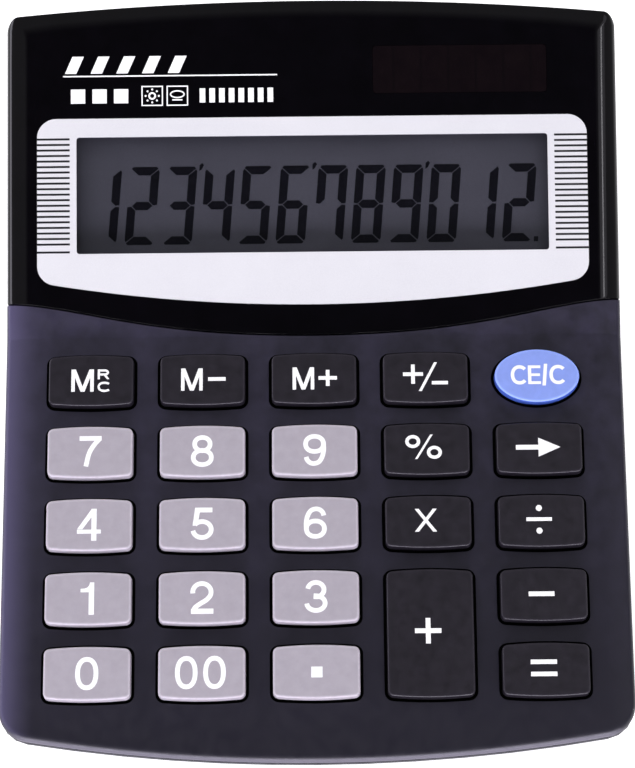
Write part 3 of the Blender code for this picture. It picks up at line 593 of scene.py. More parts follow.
def solar_face():
    """Tinted plastic over the solar cell: strips of brown film with thin gaps between them."""
    nodes = Nodes("solar_face")
    strips = nodes.add("ShaderNodeTexWave", Vector=nodes.place, Scale=1 / (7.3 * MM) / 2, Distortion=0.0)
    strips.wave_type = "BANDS"
    strips.bands_direction = "X"
    gaps = nodes.spread(strips.outputs["Fac"], 1, 0, 0.0, 0.04)
    film = nodes.noise(3 * MM, 4.0)
    brown = nodes.mix(nodes.spread(film, 0, 1), (0.0032, 0.0018, 0.0027), (0.0044, 0.0024, 0.0033))
    return nodes.finish(
        Base_Color=nodes.mix(gaps, brown, (0.003, 0.0018, 0.0026)),
        Roughness=nodes.spread(film, 0.06, 0.1),
        Normal=nodes.bump(film, 0.002 * MM),
    )


# Painted light on the case: the tones of the painted light to the left, the painted shade to the front, the
# width of the painted highlight on the left rim, the way the painted front highlight faces, and its colour
PAINTED_LEFT_LIGHT_TONES = (1.2, 1.9)
PAINTED_FRONT_SHADE = 0.5
PAINTED_RIM_HIGHLIGHT_WIDTH = 6 * MM
FRONT_HIGHLIGHT_FACING = (0, -0.95, 0.31)
PAINTED_FRONT_HIGHLIGHT = (0.08, 0.072, 0.102)
DUST_COLOUR = (0.35, 0.34, 0.36)
# The spacing and size of specks in millimetres, and the share of places that hold one
DUST = (5.0, 0.09, 0.16)
# The case's plastic carries painted light and shade: lighter to the left, darker to the front, painted
# highlights on its left rim and front edge
housing_plastic = plastic(
    "housing_plastic", (0.0137, 0.0116, 0.0256), (0.4, 0.54), 0.45, (0.14, 0.01), 3.2,
    dust=DUST, painted_light=5.2)
cover_plastic = plastic(
    "cover_plastic", (0.0012, 0.0009, 0.0017), (0.05, 0.1), 0.25, (0.9, 0.0012), 5,
    dust=(7.0, 0.07, 0.2))
# The keys' plastics carry a painted highlight along their top edges
light_plastic = plastic(
    "light_key_plastic", (0.366, 0.336, 0.38), (0.46, 0.56), 0.05, (0.12, 0.006), 1.6,
    edge_highlight_tone=0.42, scatter=0.15)
dark_plastic = plastic(
    "dark_key_plastic", (0.0112, 0.0092, 0.0142), (0.32, 0.4), 0.3, (0.12, 0.006), 1.8,
    dust=(4, 0.06, 0.1), edge_highlight_tone=0.6)
blue_plastic = plastic(
    "blue_key_plastic", (0.225, 0.315, 0.74), (0.34, 0.46), 0.05, (0.12, 0.005), 1.6,
    edge_highlight_tone=0.35, scatter=0.2)
# A darker copy of the blue key's plastic: painted shade on the key's side walls
blue_shaded_wall = plastic("blue_key_shaded_wall", (0.055, 0.115, 0.5), (0.34, 0.46), 0.06, (0.12, 0.005), 1.6)
white_ink = plastic("white_ink", (0.9, 0.9, 0.9), (0.45, 0.6), 0.03, (0.1, 0.004), 1)
black_ink = plastic("black_ink", (0.006, 0.006, 0.008), (0.35, 0.5), 0.15, (0.1, 0.002), 1)
lcd_ink = plastic("lcd_ink", (0.0034, 0.003, 0.0052), (0.3, 0.42), 0.3, (0.2, 0.002), 1, specular=0.15)
silicone = plastic("silicone", (0.45, 0.45, 0.45), (0.6, 0.75), 0.06, (0.3, 0.01), 3)
# Near black: painted shade on the walls of the key openings and on the keys below the deck
slot_shade = plastic("slot_shade", (0.002, 0.002, 0.002), (0.8, 0.9), 0.2, (0.2, 0.002), 1, specular=0.1)


def paint(obj, finish):
    obj.data.materials.clear()
    obj.data.materials.append(finish)


def put(obj, finish, body="case", replaces=()):
    """Gives a piece its material, its body and what it stands for."""
    paint(obj, finish)
    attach(obj, body)
    if replaces:
        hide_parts(*replaces)
    return obj


# ---------------- case


def eased(value):
    value = min(max(value, 0.0), 1.0)
    return value * value * (3 - 2 * value)


def rounding(inset, width, drop):
    """The drop of an elliptical edge, upright at the outside."""
    share = 1 - min(inset / width, 1.0)
    return drop * (1 - math.sqrt(max(1 - share**2, 0.0)))


def deck_drop(inset, x, y):
    """How far the housing's top rolls down at an inset: gently at the sides, tightly in front."""
    to_side = WIDTH / 2 - inset - abs(x)
    front = FRONT_BOW_RADIUS - HALF_LENGTH - math.sqrt(FRONT_BOW_RADIUS**2 - x**2)
    to_front = y - inset - front
    at_front = eased((to_side - to_front) / (4 * MM) + 0.5)
    gentle = DECK_RIM_DROP * (1 - at_front) * max(1 - inset / DECK_RIM_WIDTH, 0.0) ** 2
    side = rounding(inset, CASE_EDGE, CASE_EDGE)
    return gentle + side + (rounding(inset, *FRONT_EDGE) - side) * at_front


def rolled_body(name, base, surface, drop, width, power):
    """The case in plan, from a base height up to a surface whose edge rolls down over that width."""
    rings = [[(x, y, base(y)) for x, y in case_outline(0.0, SIDE_POINTS)]]
    for i in range(ROLL_STEPS + 1):
        inset = width * (i / ROLL_STEPS) ** power
        rings.append([(x, y, surface(y, drop(inset, x, y))) for x, y in case_outline(inset, SIDE_POINTS)])
    return lofted(name, rings)


def on_pad(local):
    """Whether a point in the deck frame lies over the field of keys."""
    return abs(local.x) < PAD_HALF_WIDTH and PAD_ENDS[0] < local.y < PAD_ENDS[1]


def refinish(obj, finish, high, low, flattest=0.4):
    """Gives the faces between two heights over the deck that are steep enough a material of their own, here
    always a painted shade.
    """
    obj.data.materials.append(finish)
    to_deck = DECK.inverted()
    for face in obj.data.polygons:
        local = to_deck @ face.center
        if on_pad(local) and low < local.z < high and abs(face.normal.dot(DECK_UP)) < flattest:
            face.material_index = len(obj.data.materials) - 1


def front_housing():
    """The keypad deck, the frame round the display and the skirt, with soft key openings."""
    crease, reach = crease_y(), SIDE_REACH
    shape = (deck_drop, DECK_RIM_WIDTH, 2)
    deck = rolled_body("housing", lambda y: -5 * MM, deck_height, *shape)
    body = boolean(deck, rolled_body("head", lambda y: -5 * MM, head_height, *shape), "UNION")
    body = bevel(body, CREASE_ROUND, 9, lambda p: abs(p.y - crease) < 0.3 * MM and p.z > 10 * MM, 5)
    below = [(reach, -20 * MM), (-reach, -20 * MM)]
    below += [(y, parting_height(y) + SEAM_EXTRA) for y in (-reach, crease, reach)]
    body = boolean(body, side_prism("below", below))
    seat = prism("seat", [head_outline(GAP, HEAD_REACH)], -COVER_THICK - GAP, 12 * MM, HEAD)
    body = boolean(body, seat)
    under = COVER_THICK + GAP + 1.5 * MM
    step = LIP_CENTRE_Y - WALL
    inside = [(y, deck_height(y, DECK_SKIN)) for y in (-reach, step)]
    inside += [(y, head_height(y, under)) for y in (step, reach)]
    inside += [(reach, -10 * MM), (-reach, -10 * MM)]
    hollow = prism("hollow", [case_outline(WALL)], -6 * MM, 61 * MM)
    hollow = boolean(hollow, side_prism("inside", inside), "INTERSECT")
    body = boolean(body, hollow)
    holes = [
        prism("hole", [key_outline(name, depth, KEY_GAP + OPENING_EXTRA, (x, y))], -5 * MM, 5 * MM, DECK)
        for name, x, y, depth in key_places()
    ]
    body = boolean(body, joined("holes", holes))
    bays = [rounded_box(*LCD_BAY, BAY_CORNER), rounded_box(*SOLAR_BAY, BAY_CORNER, SOLAR_CENTRE)]
    bays = [prism("bay", [outline], -9 * MM, 2 * MM, HEAD) for outline in bays]
    body = boolean(body, joined("bays", bays))
    to_deck = DECK.inverted()

    def at_opening(point):
        local = to_deck @ point
        return on_pad(local) and abs(local.z) < 0.02 * MM

    body = bevel(body, OPENING_EDGE, 3, at_opening, 60)
    body.name = "housing_shell"
    put(smooth(body), housing_plastic, replaces=["front_housing"])
    # Painted shade on the walls of the key openings
    refinish(body, slot_shade, -0.16 * MM, -DECK_SKIN - 0.2 * MM)


def rim_drop(inset, x, y):
    """How far the cover's surface rolls down at a distance in from its edge: less at the back."""
    to_side = WIDTH / 2 - inset - abs(x)
    back = HALF_LENGTH - REAR_BOW_RADIUS + math.sqrt(REAR_BOW_RADIUS**2 - x**2)
    at_back = eased((to_side - back + inset + y) / RIM_WIDTH + 0.5)
    gentle = (RIM_DROP + (BACK_RIM_DROP - RIM_DROP) * at_back) * (1 - min(inset / RIM_WIDTH, 1.0)) ** 2
    return gentle + rounding(inset, *COVER_EDGE) * (1 - 0.8 * at_back)


def display_cover():
    """The glossy panel: flat in the middle, rolled down along the sides and the back."""
    cover = rolled_body("cover", lambda y: head_height(y, 6 * MM), head_height, rim_drop, RIM_WIDTH, 1.6)
    slab = prism("slab", [head_outline(0, HEAD_REACH)], -COVER_THICK, 1 * MM, HEAD)
    cover = boolean(cover, slab, "INTERSECT")
    share = 1 / math.cos(HEAD_SLOPE)
    to_head = HEAD.inverted()

    def at_lip(point):
        local = to_head @ point
        lip = (lip_y(local.x) - HEAD_POINT.y) * share
        return abs(local.y - lip) < 0.05 * MM and local.z > -COVER_THICK + 0.4 * MM

    cover = bevel(cover, LIP_EDGE, 4, at_lip, 25)
    cell = rounded_box(*(side + 0.1 * MM for side in SOLAR_WINDOW_SIZE), 0.5 * MM, SOLAR_CENTRE)
    cuts = (
        (lens_outline(LENS_GAP), -1.7 * MM, 3 * MM),
        (window_outline(2 * MM, BAY_CORNER), -5 * MM, 1 * MM),
        (cell, -5 * MM, 3 * MM),
    )
    for outline, low, high in cuts:
        cover = boolean(cover, prism("cut", [outline], low, high, HEAD))
    cover.name = "cover_panel"
    put(smooth(cover, 50), cover_plastic, replaces=["display_cover"])


# ---------------- display


def lens():
    """The display's surround: silver ink with a clear window, and fine black lines at both sides."""
    hole = window_outline(0, WINDOW_CORNER)
    ring = prism("lens_surround", [lens_outline(), hole], -PRINT_THICK, 0, HEAD)
    put(smooth(ring), silver_print(), replaces=["display_lens"])
    hole = window_outline(1.6 * MM, 1.2 * MM)
    rest = prism("lens_back", [lens_outline(), hole], -1.6 * MM, -PRINT_THICK - 0.01 * MM, HEAD)
    put(smooth(rest), black_ink)
    outline = window_outline(-0.02 * MM, WINDOW_CORNER)
    pane = prism("lens_window", [outline], -PRINT_THICK, -0.05 * MM, HEAD)
    put(smooth(pane), clear_pane())
    lines = []
    pitch, thick, length = 0.93 * MM, 0.34 * MM, 5.45 * MM
    for i in range(21):
        y = 9.5 * MM - i * pitch - (0.4 * MM if i == 20 else 0)
        for side in (-1, 1):
            ends = sorted((side * (LENS_HALF_WIDTH + 0.02 * MM), side * (LENS_HALF_WIDTH - length)))
            outline = bar(ends[0], y - thick / 2, ends[1], y + thick / 2)
            lines.append(prism("line", [outline], *PRINT_LEVELS, HEAD))
    put(joined("lens_lines", lines), black_ink)


READING = "123456789012"
THOUSANDS = (2, 5, 8)
SEGMENTS = {
    "0": "abcdef", "1": "bc", "2": "abged", "3": "abgcd", "4": "fgbc",
    "5": "afgcd", "6": "afgedc", "7": "fabc", "8": "abcdefg", "9": "abcdfg",
}


def segment(name, width, height, thick):
    """A display segment as a mitred polygon, before the digit's slant."""
    gap, cut, mid = 0.09 * MM, 0.5 * MM, height / 2
    if name in "ad":
        edge = [(cut, 0), (width - cut, 0), (width - gap - 0.15 * MM, 0.3 * MM), (width - thick - gap, thick),
                (thick + gap, thick), (gap + 0.15 * MM, 0.3 * MM)]
        return [(x, height - y) for x, y in reversed(edge)] if name == "a" else edge
    if name == "g":
        half = thick / 2
        return [(thick * 0.55, mid), (thick + gap, mid - half), (width - thick - gap, mid - half),
                (width - thick * 0.55, mid), (width - thick - gap, mid + half), (thick + gap, mid + half)]
    side = [(0, mid + gap + 0.1 * MM), (thick * 0.45, mid + gap), (thick, mid + thick / 2 + gap * 1.4),
            (thick, height - thick - gap * 1.4), (0.2 * MM, height - 0.5 * MM), (0, height - 0.8 * MM)]
    if name in "bc":
        side = [(width - x, y) for x, y in reversed(side)]
    if name in "ce":
        side = [(x, height - y) for x, y in reversed(side)]
    return side


def lcd_segments():
    """The lit digits, with their thousands marks and the point, standing just over the grey field."""
    pitch, width, height, thick = 6.32 * MM, 4.95 * MM, 13.15 * MM, 1.4 * MM
    lean = math.tan(math.radians(4.8))
    left, low = -37.9 * MM, -8.0 * MM
    field = -COVER_THICK - GAP
    tick = ((0.25, 12.4), (0.65, 12.7), (0.95, 13.4), (0.6, 13.75), (0.2, 13.4))
    tick = [(x * MM, y * MM) for x, y in tick]
    made = []

    def mark(outline, x):
        placed = [(left + x + px + py * lean, low + py) for px, py in outline]
        made.append(prism("mark", [placed], field + 0.005 * MM, field + 0.05 * MM, HEAD))

    for i, digit in enumerate(READING):
        for name in SEGMENTS[digit]:
            mark(segment(name, width, height, thick), i * pitch)
        if i in THOUSANDS:
            mark(tick, i * pitch + width + 0.1 * MM)
    dot = rounded_box(0.75 * MM, 0.85 * MM, 0.1 * MM, (width + 0.75 * MM, 0.4 * MM), corner_steps=2)
    mark(dot, (len(READING) - 1) * pitch)
    put(joined("lcd_segments", made), lcd_ink)


# ---------------- keys


def key_caps():
    """Each cap in rings from its flange up to its rounded top, with a painted highlight along its edges."""
    finishes = {"light": light_plastic, "dark": dark_plastic, "blue": blue_plastic}
    # How far each ring is beyond the key's outline, its height over the deck, and its share of painted edge
    # highlight
    levels = [(KEY_FLANGE, KEY_FLANGE_LOW, 0), (KEY_FLANGE, KEY_FLANGE_TOP, 0), (0, KEY_FLANGE_TOP, 0),
              (0, 0, 0), (-KEY_DRAFT, KEY_RISE - KEY_EDGE, 0.2)]
    for i in range(1, 6):
        turn = math.pi / 2 * i / 5
        inset = KEY_DRAFT + KEY_EDGE * (1 - math.cos(turn))
        levels.append((-inset, KEY_RISE - KEY_EDGE * (1 - math.sin(turn)), 1))
    for inset, edge_highlight in ((0.12 * MM, 0.15), (0.3 * MM, 0)):
        levels.append((-KEY_DRAFT - KEY_EDGE - inset, KEY_RISE, edge_highlight))
    for name, x, y, depth in key_places():
        kind = "blue" if name == "key_clear" else "light" if name in LIGHT_KEYS else "dark"
        rings = [[(px, py, z) for px, py in key_outline(name, depth, grow, (x, y))] for grow, z, _ in levels]
        cap = lofted(f"{name}_cap", rings, DECK)
        # A point attribute marking where the painted edge highlight goes
        attribute = cap.data.attributes.new("edge_highlight", "FLOAT", "POINT")
        attribute.data.foreach_set("value", [edge_highlight for _, _, edge_highlight in levels for _ in rings[0]])
        put(smooth(cap, 50), finishes[kind], name, replaces=[name])
        # Painted shade: the blue key's side walls take the darker copy of its plastic
        if kind == "blue":
            refinish(cap, blue_shaded_wall, KEY_RISE, 0)
        # Painted shade on the cap below the deck, inside its slot
        refinish(cap, slot_shade, -0.05 * MM, -5 * MM, 2.0)


def key_domes():
    """The rubber sheet, with a dome under each key."""
    low, high = MAT_ENDS
    outline = rounded_box(MAT_WIDTH, high - low, 2 * MM, (0, (low + high) / 2))
    sheet = prism("mat_sheet", [outline], MAT_LOW, MAT_TOP, DECK)
    put(sheet, silicone, replaces=["key_mat"])
    circles = [(arc((0, 0), radius, 0, 2 * math.pi, DOME_SIDES)[:-1], z) for radius, z in DOME_SHAPE]
    for name, x, y, _ in key_places():
        rings = [[(x + px, y + py, z) for px, py in circle] for circle, z in circles]
        dome = smooth(lofted(name.replace("key_", "dome_"), rings, DECK))
        put(dome, silicone, replaces=["key_mat"])
        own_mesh(dome)


# ---------------- legends


def ellipse(cx, cy, rx, ry, start=0.0, end=360.0, steps=28, power=2.0):
    """Points along part of an ellipse, or of a squarer one with a higher power."""
    points = []
    for i in range(steps + 1):
        a = math.radians(start + (end - start) * i / steps)
        c, s = (math.copysign(abs(v) ** (2 / power), v) for v in (math.cos(a), math.sin(a)))
        points.append((cx + rx * c, cy + ry * s))
    return points


def curve(points, steps=6):
    """A smooth line through the points."""
    ends = [points[0], *points, points[-1]]
    made = []
    for a, b, c, d in zip(ends, ends[1:], ends[2:], ends[3:]):
        for i in range(steps):
            t = i / steps
            made.append(tuple(
                0.5 * (2 * q + (r - p) * t + (2 * p - 5 * q + 4 * r - s) * t**2
                       + (3 * q - p - 3 * r + s) * t**3)
                for p, q, r, s in zip(a, b, c, d)))
    return made + [points[-1]]


def slant(foot, top, width, low=0.0, high=1.0):
    """A bar between two heights with level ends."""
    half = width / 2
    return [(foot - half, low), (foot + half, low), (top + half, high), (top - half, high)]


def bar(x0, y0, x1, y1):
    return [(x0, y0), (x1, y0), (x1, y1), (x0, y1)]


def fills(*outlines):
    return [("fill", outline) for outline in outlines]


def turned(strokes, width):
    return [(kind, [(width - x, 1 - y) for x, y in points]) for kind, points in strokes]


# The glyphs are strokes in a unit cell: filled outlines, open lines and closed rings
STROKE = 0.17
RING = [("ring", ellipse(0.5, 0.5, 0.5, 0.5))]
DISC = ellipse(0.5, 0.5, 0.5, 0.5)[:-1]
SIX = [
    ("ring", ellipse(0.345, 0.315, 0.255, 0.235, power=2.15)),
    ("line", curve([(0.585, 0.715), (0.555, 0.81), (0.47, 0.895), (0.36, 0.92), (0.22, 0.865),
                            (0.125, 0.7), (0.088, 0.5), (0.09, 0.315)])),
]
GLYPHS = {
    "0": [("ring", ellipse(0.34, 0.5, 0.25, 0.425, power=2.25))],
    "1": fills([(0, 0.695), (0.254, 0.695), (0.254, 0), (0.417, 0), (0.417, 1), (0.285, 1), (0.262, 0.905),
                (0.205, 0.84), (0.12, 0.812), (0, 0.805)]),
    "2": [("line", ellipse(0.345, 0.66, 0.255, 0.255, 188, -12, 22) +
           curve([(0.575, 0.545), (0.47, 0.425), (0.29, 0.31), (0.155, 0.2), (0.115, 0.085)], 5)),
          *fills(bar(0.025, 0, 0.685, 0.16))],
    "3": [("line", ellipse(0.335, 0.7, 0.225, 0.215, 172, -80, 22) + [(0.27, 0.495)]),
          ("line", [(0.27, 0.52)] + ellipse(0.335, 0.3, 0.255, 0.215, 85, -178, 24))],
    "4": fills(bar(0.415, 0, 0.565, 1), bar(0, 0.222, 0.69, 0.348),
               [(0, 0.36), (0.155, 0.36), (0.5, 0.86), (0.5, 1), (0.42, 1)]),
    "5": [*fills(bar(0.13, 0.85, 0.64, 1),
                 [(0.055, 0.44), (0.2, 0.44), (0.275, 0.9), (0.275, 1), (0.13, 1)]),
          ("line", ellipse(0.335, 0.325, 0.255, 0.24, 142, -172, 26))],
    "6": SIX,
    "7": [*fills(bar(0.02, 0.845, 0.67, 1)),
          ("line", curve([(0.6, 0.9), (0.44, 0.69), (0.31, 0.42), (0.225, 0)], 6))],
    "8": [("ring", ellipse(0.345, 0.715, 0.222, 0.205, power=2.1)),
          ("ring", ellipse(0.345, 0.3, 0.26, 0.22, power=2.1))],
    "9": turned(SIX, 0.69),
    "M": fills(slant(0.075, 0.075, 0.15), slant(0.865, 0.865, 0.15),
               slant(0.47, 0.1, 0.17), slant(0.47, 0.84, 0.17)),
    "R": [*fills(bar(0, 0, 0.2, 1)),
          ("line", [(0.1, 0.9), (0.62, 0.9), *ellipse(0.64, 0.69, 0.27, 0.21, 90, -90, 10), (0.1, 0.48)]),
          *fills(slant(0.93, 0.58, 0.24, 0, 0.5))],
    "C": [("line", ellipse(0.46, 0.5, 0.37, 0.41, 42, 318, 30, 2.2))],
    "E": fills(bar(0, 0, 0.17, 1), bar(0.05, 0, 0.66, 0.15),
               bar(0.05, 0.43, 0.62, 0.57), bar(0.05, 0.85, 0.65, 1)),
}


def ribbon(points, half, closed):
    """Left and right edges of a stroke of constant width."""
    left, right = [], []
    count = len(points)
    for i in range(count):
        before = points[(i - 1) % count] if closed or i else points[0]
        after = points[(i + 1) % count] if closed or i < count - 1 else points[-1]
        here = points[i]
        first = Vector((here[0] - before[0], here[1] - before[1]))
        second = Vector((after[0] - here[0], after[1] - here[1]))
        first = first.normalized() if first.length > 1e-9 else second.normalized()
        second = second.normalized() if second.length > 1e-9 else first
        across = (first + second).normalized()
        stretch = 1 / max(across.dot(first), 0.5)
        normal = Vector((-across.y, across.x)) * half * stretch
        left.append((here[0] + normal.x, here[1] + normal.y))
        right.append((here[0] - normal.x, here[1] - normal.y))
    return left, right


def stroke_solid(points, half, closed, low, high, place):
    """A thin solid along a stroke."""
    left, right = ribbon(points, half, closed)
    bm = bmesh.new()
    rows = [[bm.verts.new((x, y, z)) for x, y in edge] for edge, z in
            ((left, low), (right, low), (right, high), (left, high))]
    count = len(points)
    for i in range(count if closed else count - 1):
        after = (i + 1) % count
        for a, b in ((0, 1), (1, 2), (2, 3), (3, 0)):
            bm.faces.new((rows[a][i], rows[b][i], rows[b][after], rows[a][after]))
    if not closed:
        for i in (0, count - 1):
            bm.faces.new([row[i] for row in rows])
    return new_object("stroke", bm, place)


def sized(strokes, box, weight):
    """Strokes from the unit cell, moved to a box (x, y, width, height) in millimetres.

    The drawing's own extent, half a stroke beyond its lines, fills the box."""
    xs, ys = [], []
    for kind, points in strokes:
        pad = 0 if kind == "fill" else STROKE / 2
        for x, y in points:
            xs += [x - pad, x + pad]
            ys += [y - pad, y + pad]
    x, y, width, height = box
    for kind, points in strokes:
        drawn, pad = (0, 0) if kind == "fill" else (STROKE / 2, weight / 2)
        low_x, low_y = min(xs) + drawn, min(ys) + drawn
        scale_x = (width - 2 * pad) / (max(xs) - drawn - low_x)
        scale_y = (height - 2 * pad) / (max(ys) - drawn - low_y)
        left, foot = x - width / 2 + pad, y - height / 2 + pad
        placed = [(left + (px - low_x) * scale_x, foot + (py - low_y) * scale_y) for px, py in points]
        yield kind, [(px * MM, py * MM) for px, py in placed]


def legend_parts(items, weight, levels, place):
    """The solids of a legend's glyphs and bars, joined into one body where they meet."""
    solids = []
    for strokes, box in items:
        for kind, points in sized(strokes, box, weight):
            if kind == "fill":
                solids.append(prism("fill", [points], *levels, place))
            else:
                closed = kind == "ring"
                line = points[:-1] if closed else points
                solids.append(stroke_solid(line, weight / 2 * MM, closed, *levels, place))
    first = solids[0]
    for other in solids[1:]:
        first = boolean(first, other, "UNION", "MANIFOLD")
    return first


def glyph(letter, x, y, width, height):
    return GLYPHS[letter], (x, y, width, height)


def block(points, x, y, width, height):
    return fills(points), (x, y, width, height)


def rect(x, y, width, height):
    return block(bar(0, 0, 1, 1), x, y, width, height)


def legends():
    """White legends on the key tops; sizes in millimetres, places from each key's middle."""
    em = glyph("M", -1.75, 0, 3.55, 3.8)
    # The weight of the strokes, then the glyphs and bars
    faces = {digit: (0.77, glyph(digit, 0, 0, 3.72, 5.35)) for digit in "0235689"}
    faces |= {
        "1": (0.77, glyph("1", -0.1, 0, 2.2, 5.3)),
        "4": (0.77, glyph("4", 0, 0, 3.85, 5.3)),
        "7": (0.77, glyph("7", 0.1, -0.05, 3.7, 5.5)),
        "00": (0.77, glyph("0", -2.45, 0, 3.62, 5.35), glyph("0", 2.05, 0, 3.62, 5.35)),
        "point": (0.8, rect(0.05, -0.1, 1.8, 1.75)),
        "mrc": (0.36, glyph("M", -1.4, 0, 3.7, 3.8), glyph("R", 2.05, 1.05, 1.95, 1.7),
                glyph("C", 2.1, -1.1, 2.05, 1.75)),
        "m_minus": (0.6, em, rect(2.35, 0.05, 2.9, 0.62)),
        "m_plus": (0.6, em, rect(2.25, 0.05, 3.05, 0.62), rect(2.25, 0.05, 0.62, 2.75)),
        "sign": (0.6, rect(-2.05, 0.55, 3.3, 0.62), rect(-2.05, 0.55, 0.62, 3.3),
                 block(slant(0.08, 0.92, 0.16), 0.4, 0.1, 3.1, 4.9), rect(2.35, -0.95, 2.65, 0.58)),
        "clear": (0.57, glyph("C", -3.0, 0.1, 2.6, 3.3), glyph("E", -0.42, 0.1, 2.1, 3.2),
                  block(slant(0.34, 0.66, 0.52), 1.3, 0.1, 0.9, 3.7), glyph("C", 3.35, 0.1, 2.6, 3.3)),
        "percent": (0.55, (RING, (-2.3, 1.25, 2.45, 2.2)), (RING, (1.2, -0.6, 2.45, 2.2)),
                    block(slant(0.07, 0.93, 0.14), -0.5, 0.35, 2.95, 4.1)),
        "backspace": (0.6, rect(-1.95, 0.1, 3.75, 0.8),
                      block([(0, 0), (1, 0.5), (0, 1)], 1.65, 0.1, 3.6, 3.2)),
        "multiply": (0.6, block(slant(0.09, 0.91, 0.18), -0.42, 0.22, 3.6, 3.8),
                     block(slant(0.91, 0.09, 0.18), -0.42, 0.22, 3.6, 3.8)),
        "divide": (0.6, rect(-0.4, 0.22, 4.15, 0.6), block(DISC, -0.4, 2.07, 1, 1),
                   block(DISC, -0.4, -1.7, 1, 1)),
        "minus": (0.6, rect(-0.4, 0.08, 4.15, 0.76)),
        "equals": (0.6, rect(-0.38, 1.2, 4.2, 0.72), rect(-0.38, -0.76, 4.2, 0.72)),
        "plus": (0.6, rect(-0.4, 0.32, 4.25, 0.78), rect(-0.4, 0.32, 0.78, 4.15)),
    }
    levels = (KEY_RISE - LEGEND_DEEP, KEY_RISE + LEGEND_PROUD)
    for name, x, y, _ in key_places():
        weight, *items = faces[name.removeprefix("key_")]
        legend = legend_parts(items, weight, levels, DECK @ Matrix.Translation((x, y, 0)))
        legend.name = name.replace("key_", "legend_")
        put(legend, white_ink, name)


def panel_marks():
    """Wordless marks where the panel carries print: bars, a rule, a sun, a cell and rows of squares."""
    sun, cell, row = -26.6, -22.4, 16.7
    items = [block(slant(0.3, 0.7, 0.6), -39.6 + i * 4.3, 22.0, 3.2, 2.9) for i in range(5)]
    items.append(rect(-23.6, 20.1, 35.8, 0.22))
    for x in (sun, cell):
        for side in (-1, 1):
            items.append(rect(x, row + side * 1.6, 3.6, 0.2))
            items.append(rect(x + side * 1.7, row, 0.2, 3.4))
    items += [rect(-39.0 + i * 3.6, row, 2.4, 2.4) for i in range(3)]
    items += [rect(-18.2 + i * 1.62, row, 0.95, 2.4) for i in range(8)]
    groups = [(items, 0.3), ([(RING, (sun, row, 1.3, 1.3))], 0.3)]
    spot = ellipse(0.5, 0.5, 0.5, 0.5, steps=12)[:-1]
    for i in range(8):
        a = math.pi / 4 * i
        groups.append(([block(spot, sun + 1.1 * math.cos(a), row + 1.1 * math.sin(a), 0.34, 0.34)], 0.3))
    groups.append(([(RING, (cell, 16.95, 2.5, 1.35))], 0.22))
    groups.append(([rect(cell, 16.0, 1.7, 0.22)], 0.22))
    parts = [legend_parts(marks, weight, PRINT_LEVELS, HEAD) for marks, weight in groups]
    put(joined("panel_marks", parts), white_ink)


# ---------------- the rest of the frame


def frame_finishes():
    """Materials for the CAD nodes that stay."""
    back = plastic("back_plastic", (0.013, 0.0116, 0.021), (0.54, 0.6), 0.16, (0.2, 0.014), 5, 0.4, DUST)
    specks = (2.5, 0.06, 0.25)
    rubber = plastic("foot_rubber", (0.012, 0.012, 0.013), (0.75, 0.9), 0.2, (0.25, 0.02), 2, dust=specks)
    steel = metal("screw_steel", (0.55, 0.55, 0.57), (0.28, 0.42))
    contact = metal("contact_steel", (0.66, 0.62, 0.52), (0.25, 0.4), (8, 1, 1))
    red = plastic("wire_red", (0.42, 0.02, 0.02), (0.35, 0.5), 0.08, (0.3, 0.004), 1)
    black = plastic("wire_black", (0.02, 0.02, 0.02), (0.35, 0.5), 0.1, (0.3, 0.004), 1)
    finishes = {
        "back_cover": back, "battery_cover": back, "lcd_panel": lcd_field(), "solar_window": solar_face(),
        "lcd_holder": plastic("white_plastic", (0.7, 0.7, 0.67), (0.45, 0.6), 0.04, (0.2, 0.006), 2),
        "lcd_ribbon": plastic("ribbon_film", (0.28, 0.26, 0.22), (0.3, 0.45), 0.1, (0.4, 0.005), 1),
        "solar_cell": plastic("solar_glass", (0.014, 0.008, 0.01), (0.1, 0.2), 0.2, (0.5, 0.002), 2),
        "chip_cover": plastic("epoxy", (0.01, 0.01, 0.01), (0.25, 0.4), 0.2, (0.5, 0.02), 2),
        "capacitor": plastic("capacitor_sleeve", (0.02, 0.03, 0.12), (0.3, 0.45), 0.1, (0.3, 0.004), 1),
        "main_board": plastic("board_laminate", (0.2, 0.125, 0.045), (0.45, 0.6), 0.1, (0.25, 0.01), 1.2),
        "battery_cell": metal("cell_steel", (0.72, 0.72, 0.74), (0.18, 0.3), (1, 8, 1)),
        "battery_contact_negative": contact, "battery_contact_positive": contact,
    }
    for name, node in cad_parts.items():
        if name.startswith("foot_"):
            finishes[name] = rubber
        elif "screw" in name:
            finishes[name] = steel
        elif "wire" in name:
            finishes[name] = red if "positive" in name else black
        if name in finishes:
            paint(node, finishes[name])


# ---------------- stage, light and camera


def stage():
    bm = bmesh.new()
    bmesh.ops.create_grid(bm, x_segments=2, y_segments=2, size=2.5)
    floor = new_object("floor", bm, Matrix.Translation((0, 0, -0.05 * MM)))
    nodes = Nodes("pale_floor")
    patches = nodes.spread(nodes.noise(40 * MM, 3.0), 0, 1)
    paper = nodes.finish(
        Base_Color=nodes.mix(patches, (0.9, 0.9, 0.9), (0.92, 0.92, 0.92)),
        Roughness=0.9, Specular_IOR_Level=0.1,
        Emission_Color=(1.0, 1.0, 1.0, 1.0), Emission_Strength=0.7,
    )
    paint(floor, paper)


def area_light(name, place, target, size, radiance, colour=(1, 1, 1), in_gloss=True):
    """A soft panel facing the target. One that is out of the gloss lights surfaces without a reflection."""
    light = bpy.data.lights.new(name, "AREA")
    light.shape = "RECTANGLE"
    light.size, light.size_y = size
    light.energy = radiance * math.pi * size[0] * size[1]
    light.color = colour
    obj = add_object(name, light)
    obj.location = place
    obj.rotation_euler = (Vector(target) - Vector(place)).to_track_quat("-Z", "Y").to_euler()
    obj.visible_glossy = in_gloss


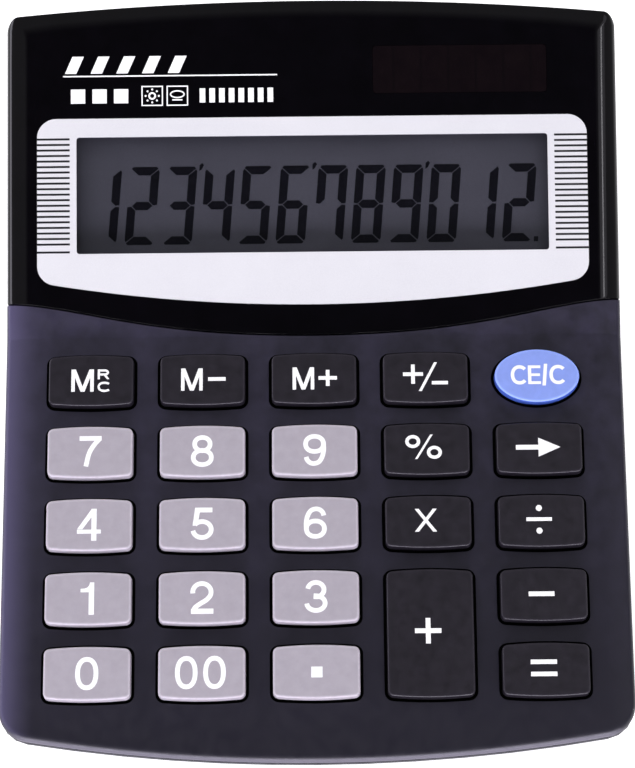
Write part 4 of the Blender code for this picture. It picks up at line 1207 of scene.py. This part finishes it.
# The sky's brightness from its sides, at 0, to the dark patch overhead that the gloss mirrors
DARK_PATCH = (0, -0.15, 0.989)
SKY = ((0.0, 0.95), (0.14, 0.8), (0.3, 0.3), (0.75, 0.2), (0.955, 0.2), (0.988, 0.03))


def lights():
    right_rim = (0.048, 0.03, 0.025)
    area_light("soft_top", (-0.12, 0.15, 0.9), (0, 0, 0), (1.3, 1.3), 1.24, in_gloss=False)
    area_light("soft_left", (-0.55, 0.1, 0.24), (0, 0.02, 0.02), (0.6, 0.2), 3.2, (0.9, 0.87, 1.0))
    area_light("soft_front", (0.0, -0.8, 0.2), (0, 0, 0.02), (1.3, 0.26), 11.0, (0.93, 0.9, 1.0))
    area_light("strip_right", (0.29, -0.05, 0.54), right_rim, (0.16, 0.022), 5.5, (0.97, 0.95, 1.0))
    area_light("glow_right", (0.29, -0.045, 0.545), right_rim, (0.45, 0.17), 0.5, (0.92, 0.9, 1.0))
    world = bpy.data.worlds.new("studio")
    bpy.context.scene.world = world
    bpy.context.scene.view_settings.view_transform = "Standard"
    nodes = Nodes("studio", world, "Background", "Generated")
    overhead = nodes.calculate("DOT_PRODUCT", (nodes.place, DARK_PATCH), "ShaderNodeVectorMath")
    ramp = nodes.add("ShaderNodeValToRGB", Fac=overhead)
    elements = ramp.color_ramp.elements
    elements[0].position, elements[1].position = SKY[0][0], SKY[-1][0]
    for position, _ in SKY[1:-1]:
        elements.new(position)
    for element, (_, level) in zip(elements, SKY):
        element.color = (level * 0.98, level * 0.98, level, 1)
    nodes.finish(Color=ramp.outputs["Color"], Strength=1.0)


def camera():
    """A little above the keypad, leaning forward: 22.7 degrees off the vertical."""
    tilt, yaw, roll, distance = 0.395424624, 0.0024, -0.0088, 450 * MM
    level = math.cos(yaw)
    back = Vector((math.sin(yaw), -math.sin(tilt) * level, math.cos(tilt) * level)).normalized()
    target = Vector((0.56, -0.04, 16.8)) * MM
    right = Vector((0, 1, 0)).cross(back).normalized()
    up = back.cross(right)
    right, up = math.cos(roll) * right + math.sin(roll) * up, math.cos(roll) * up - math.sin(roll) * right
    optics = bpy.data.cameras.new("camera")
    optics.lens = 127.75
    optics.sensor_width = 36.0
    optics.clip_start = 0.01
    seat = add_object("camera", optics)
    rotation = Matrix((right, up, back)).transposed().to_4x4()
    seat.matrix_world = Matrix.Translation(target + back * distance) @ rotation
    bpy.context.scene.camera = seat


front_housing()
display_cover()
lens()
lcd_segments()
key_caps()
key_domes()
legends()
panel_marks()
frame_finishes()
stage()
lights()
camera()
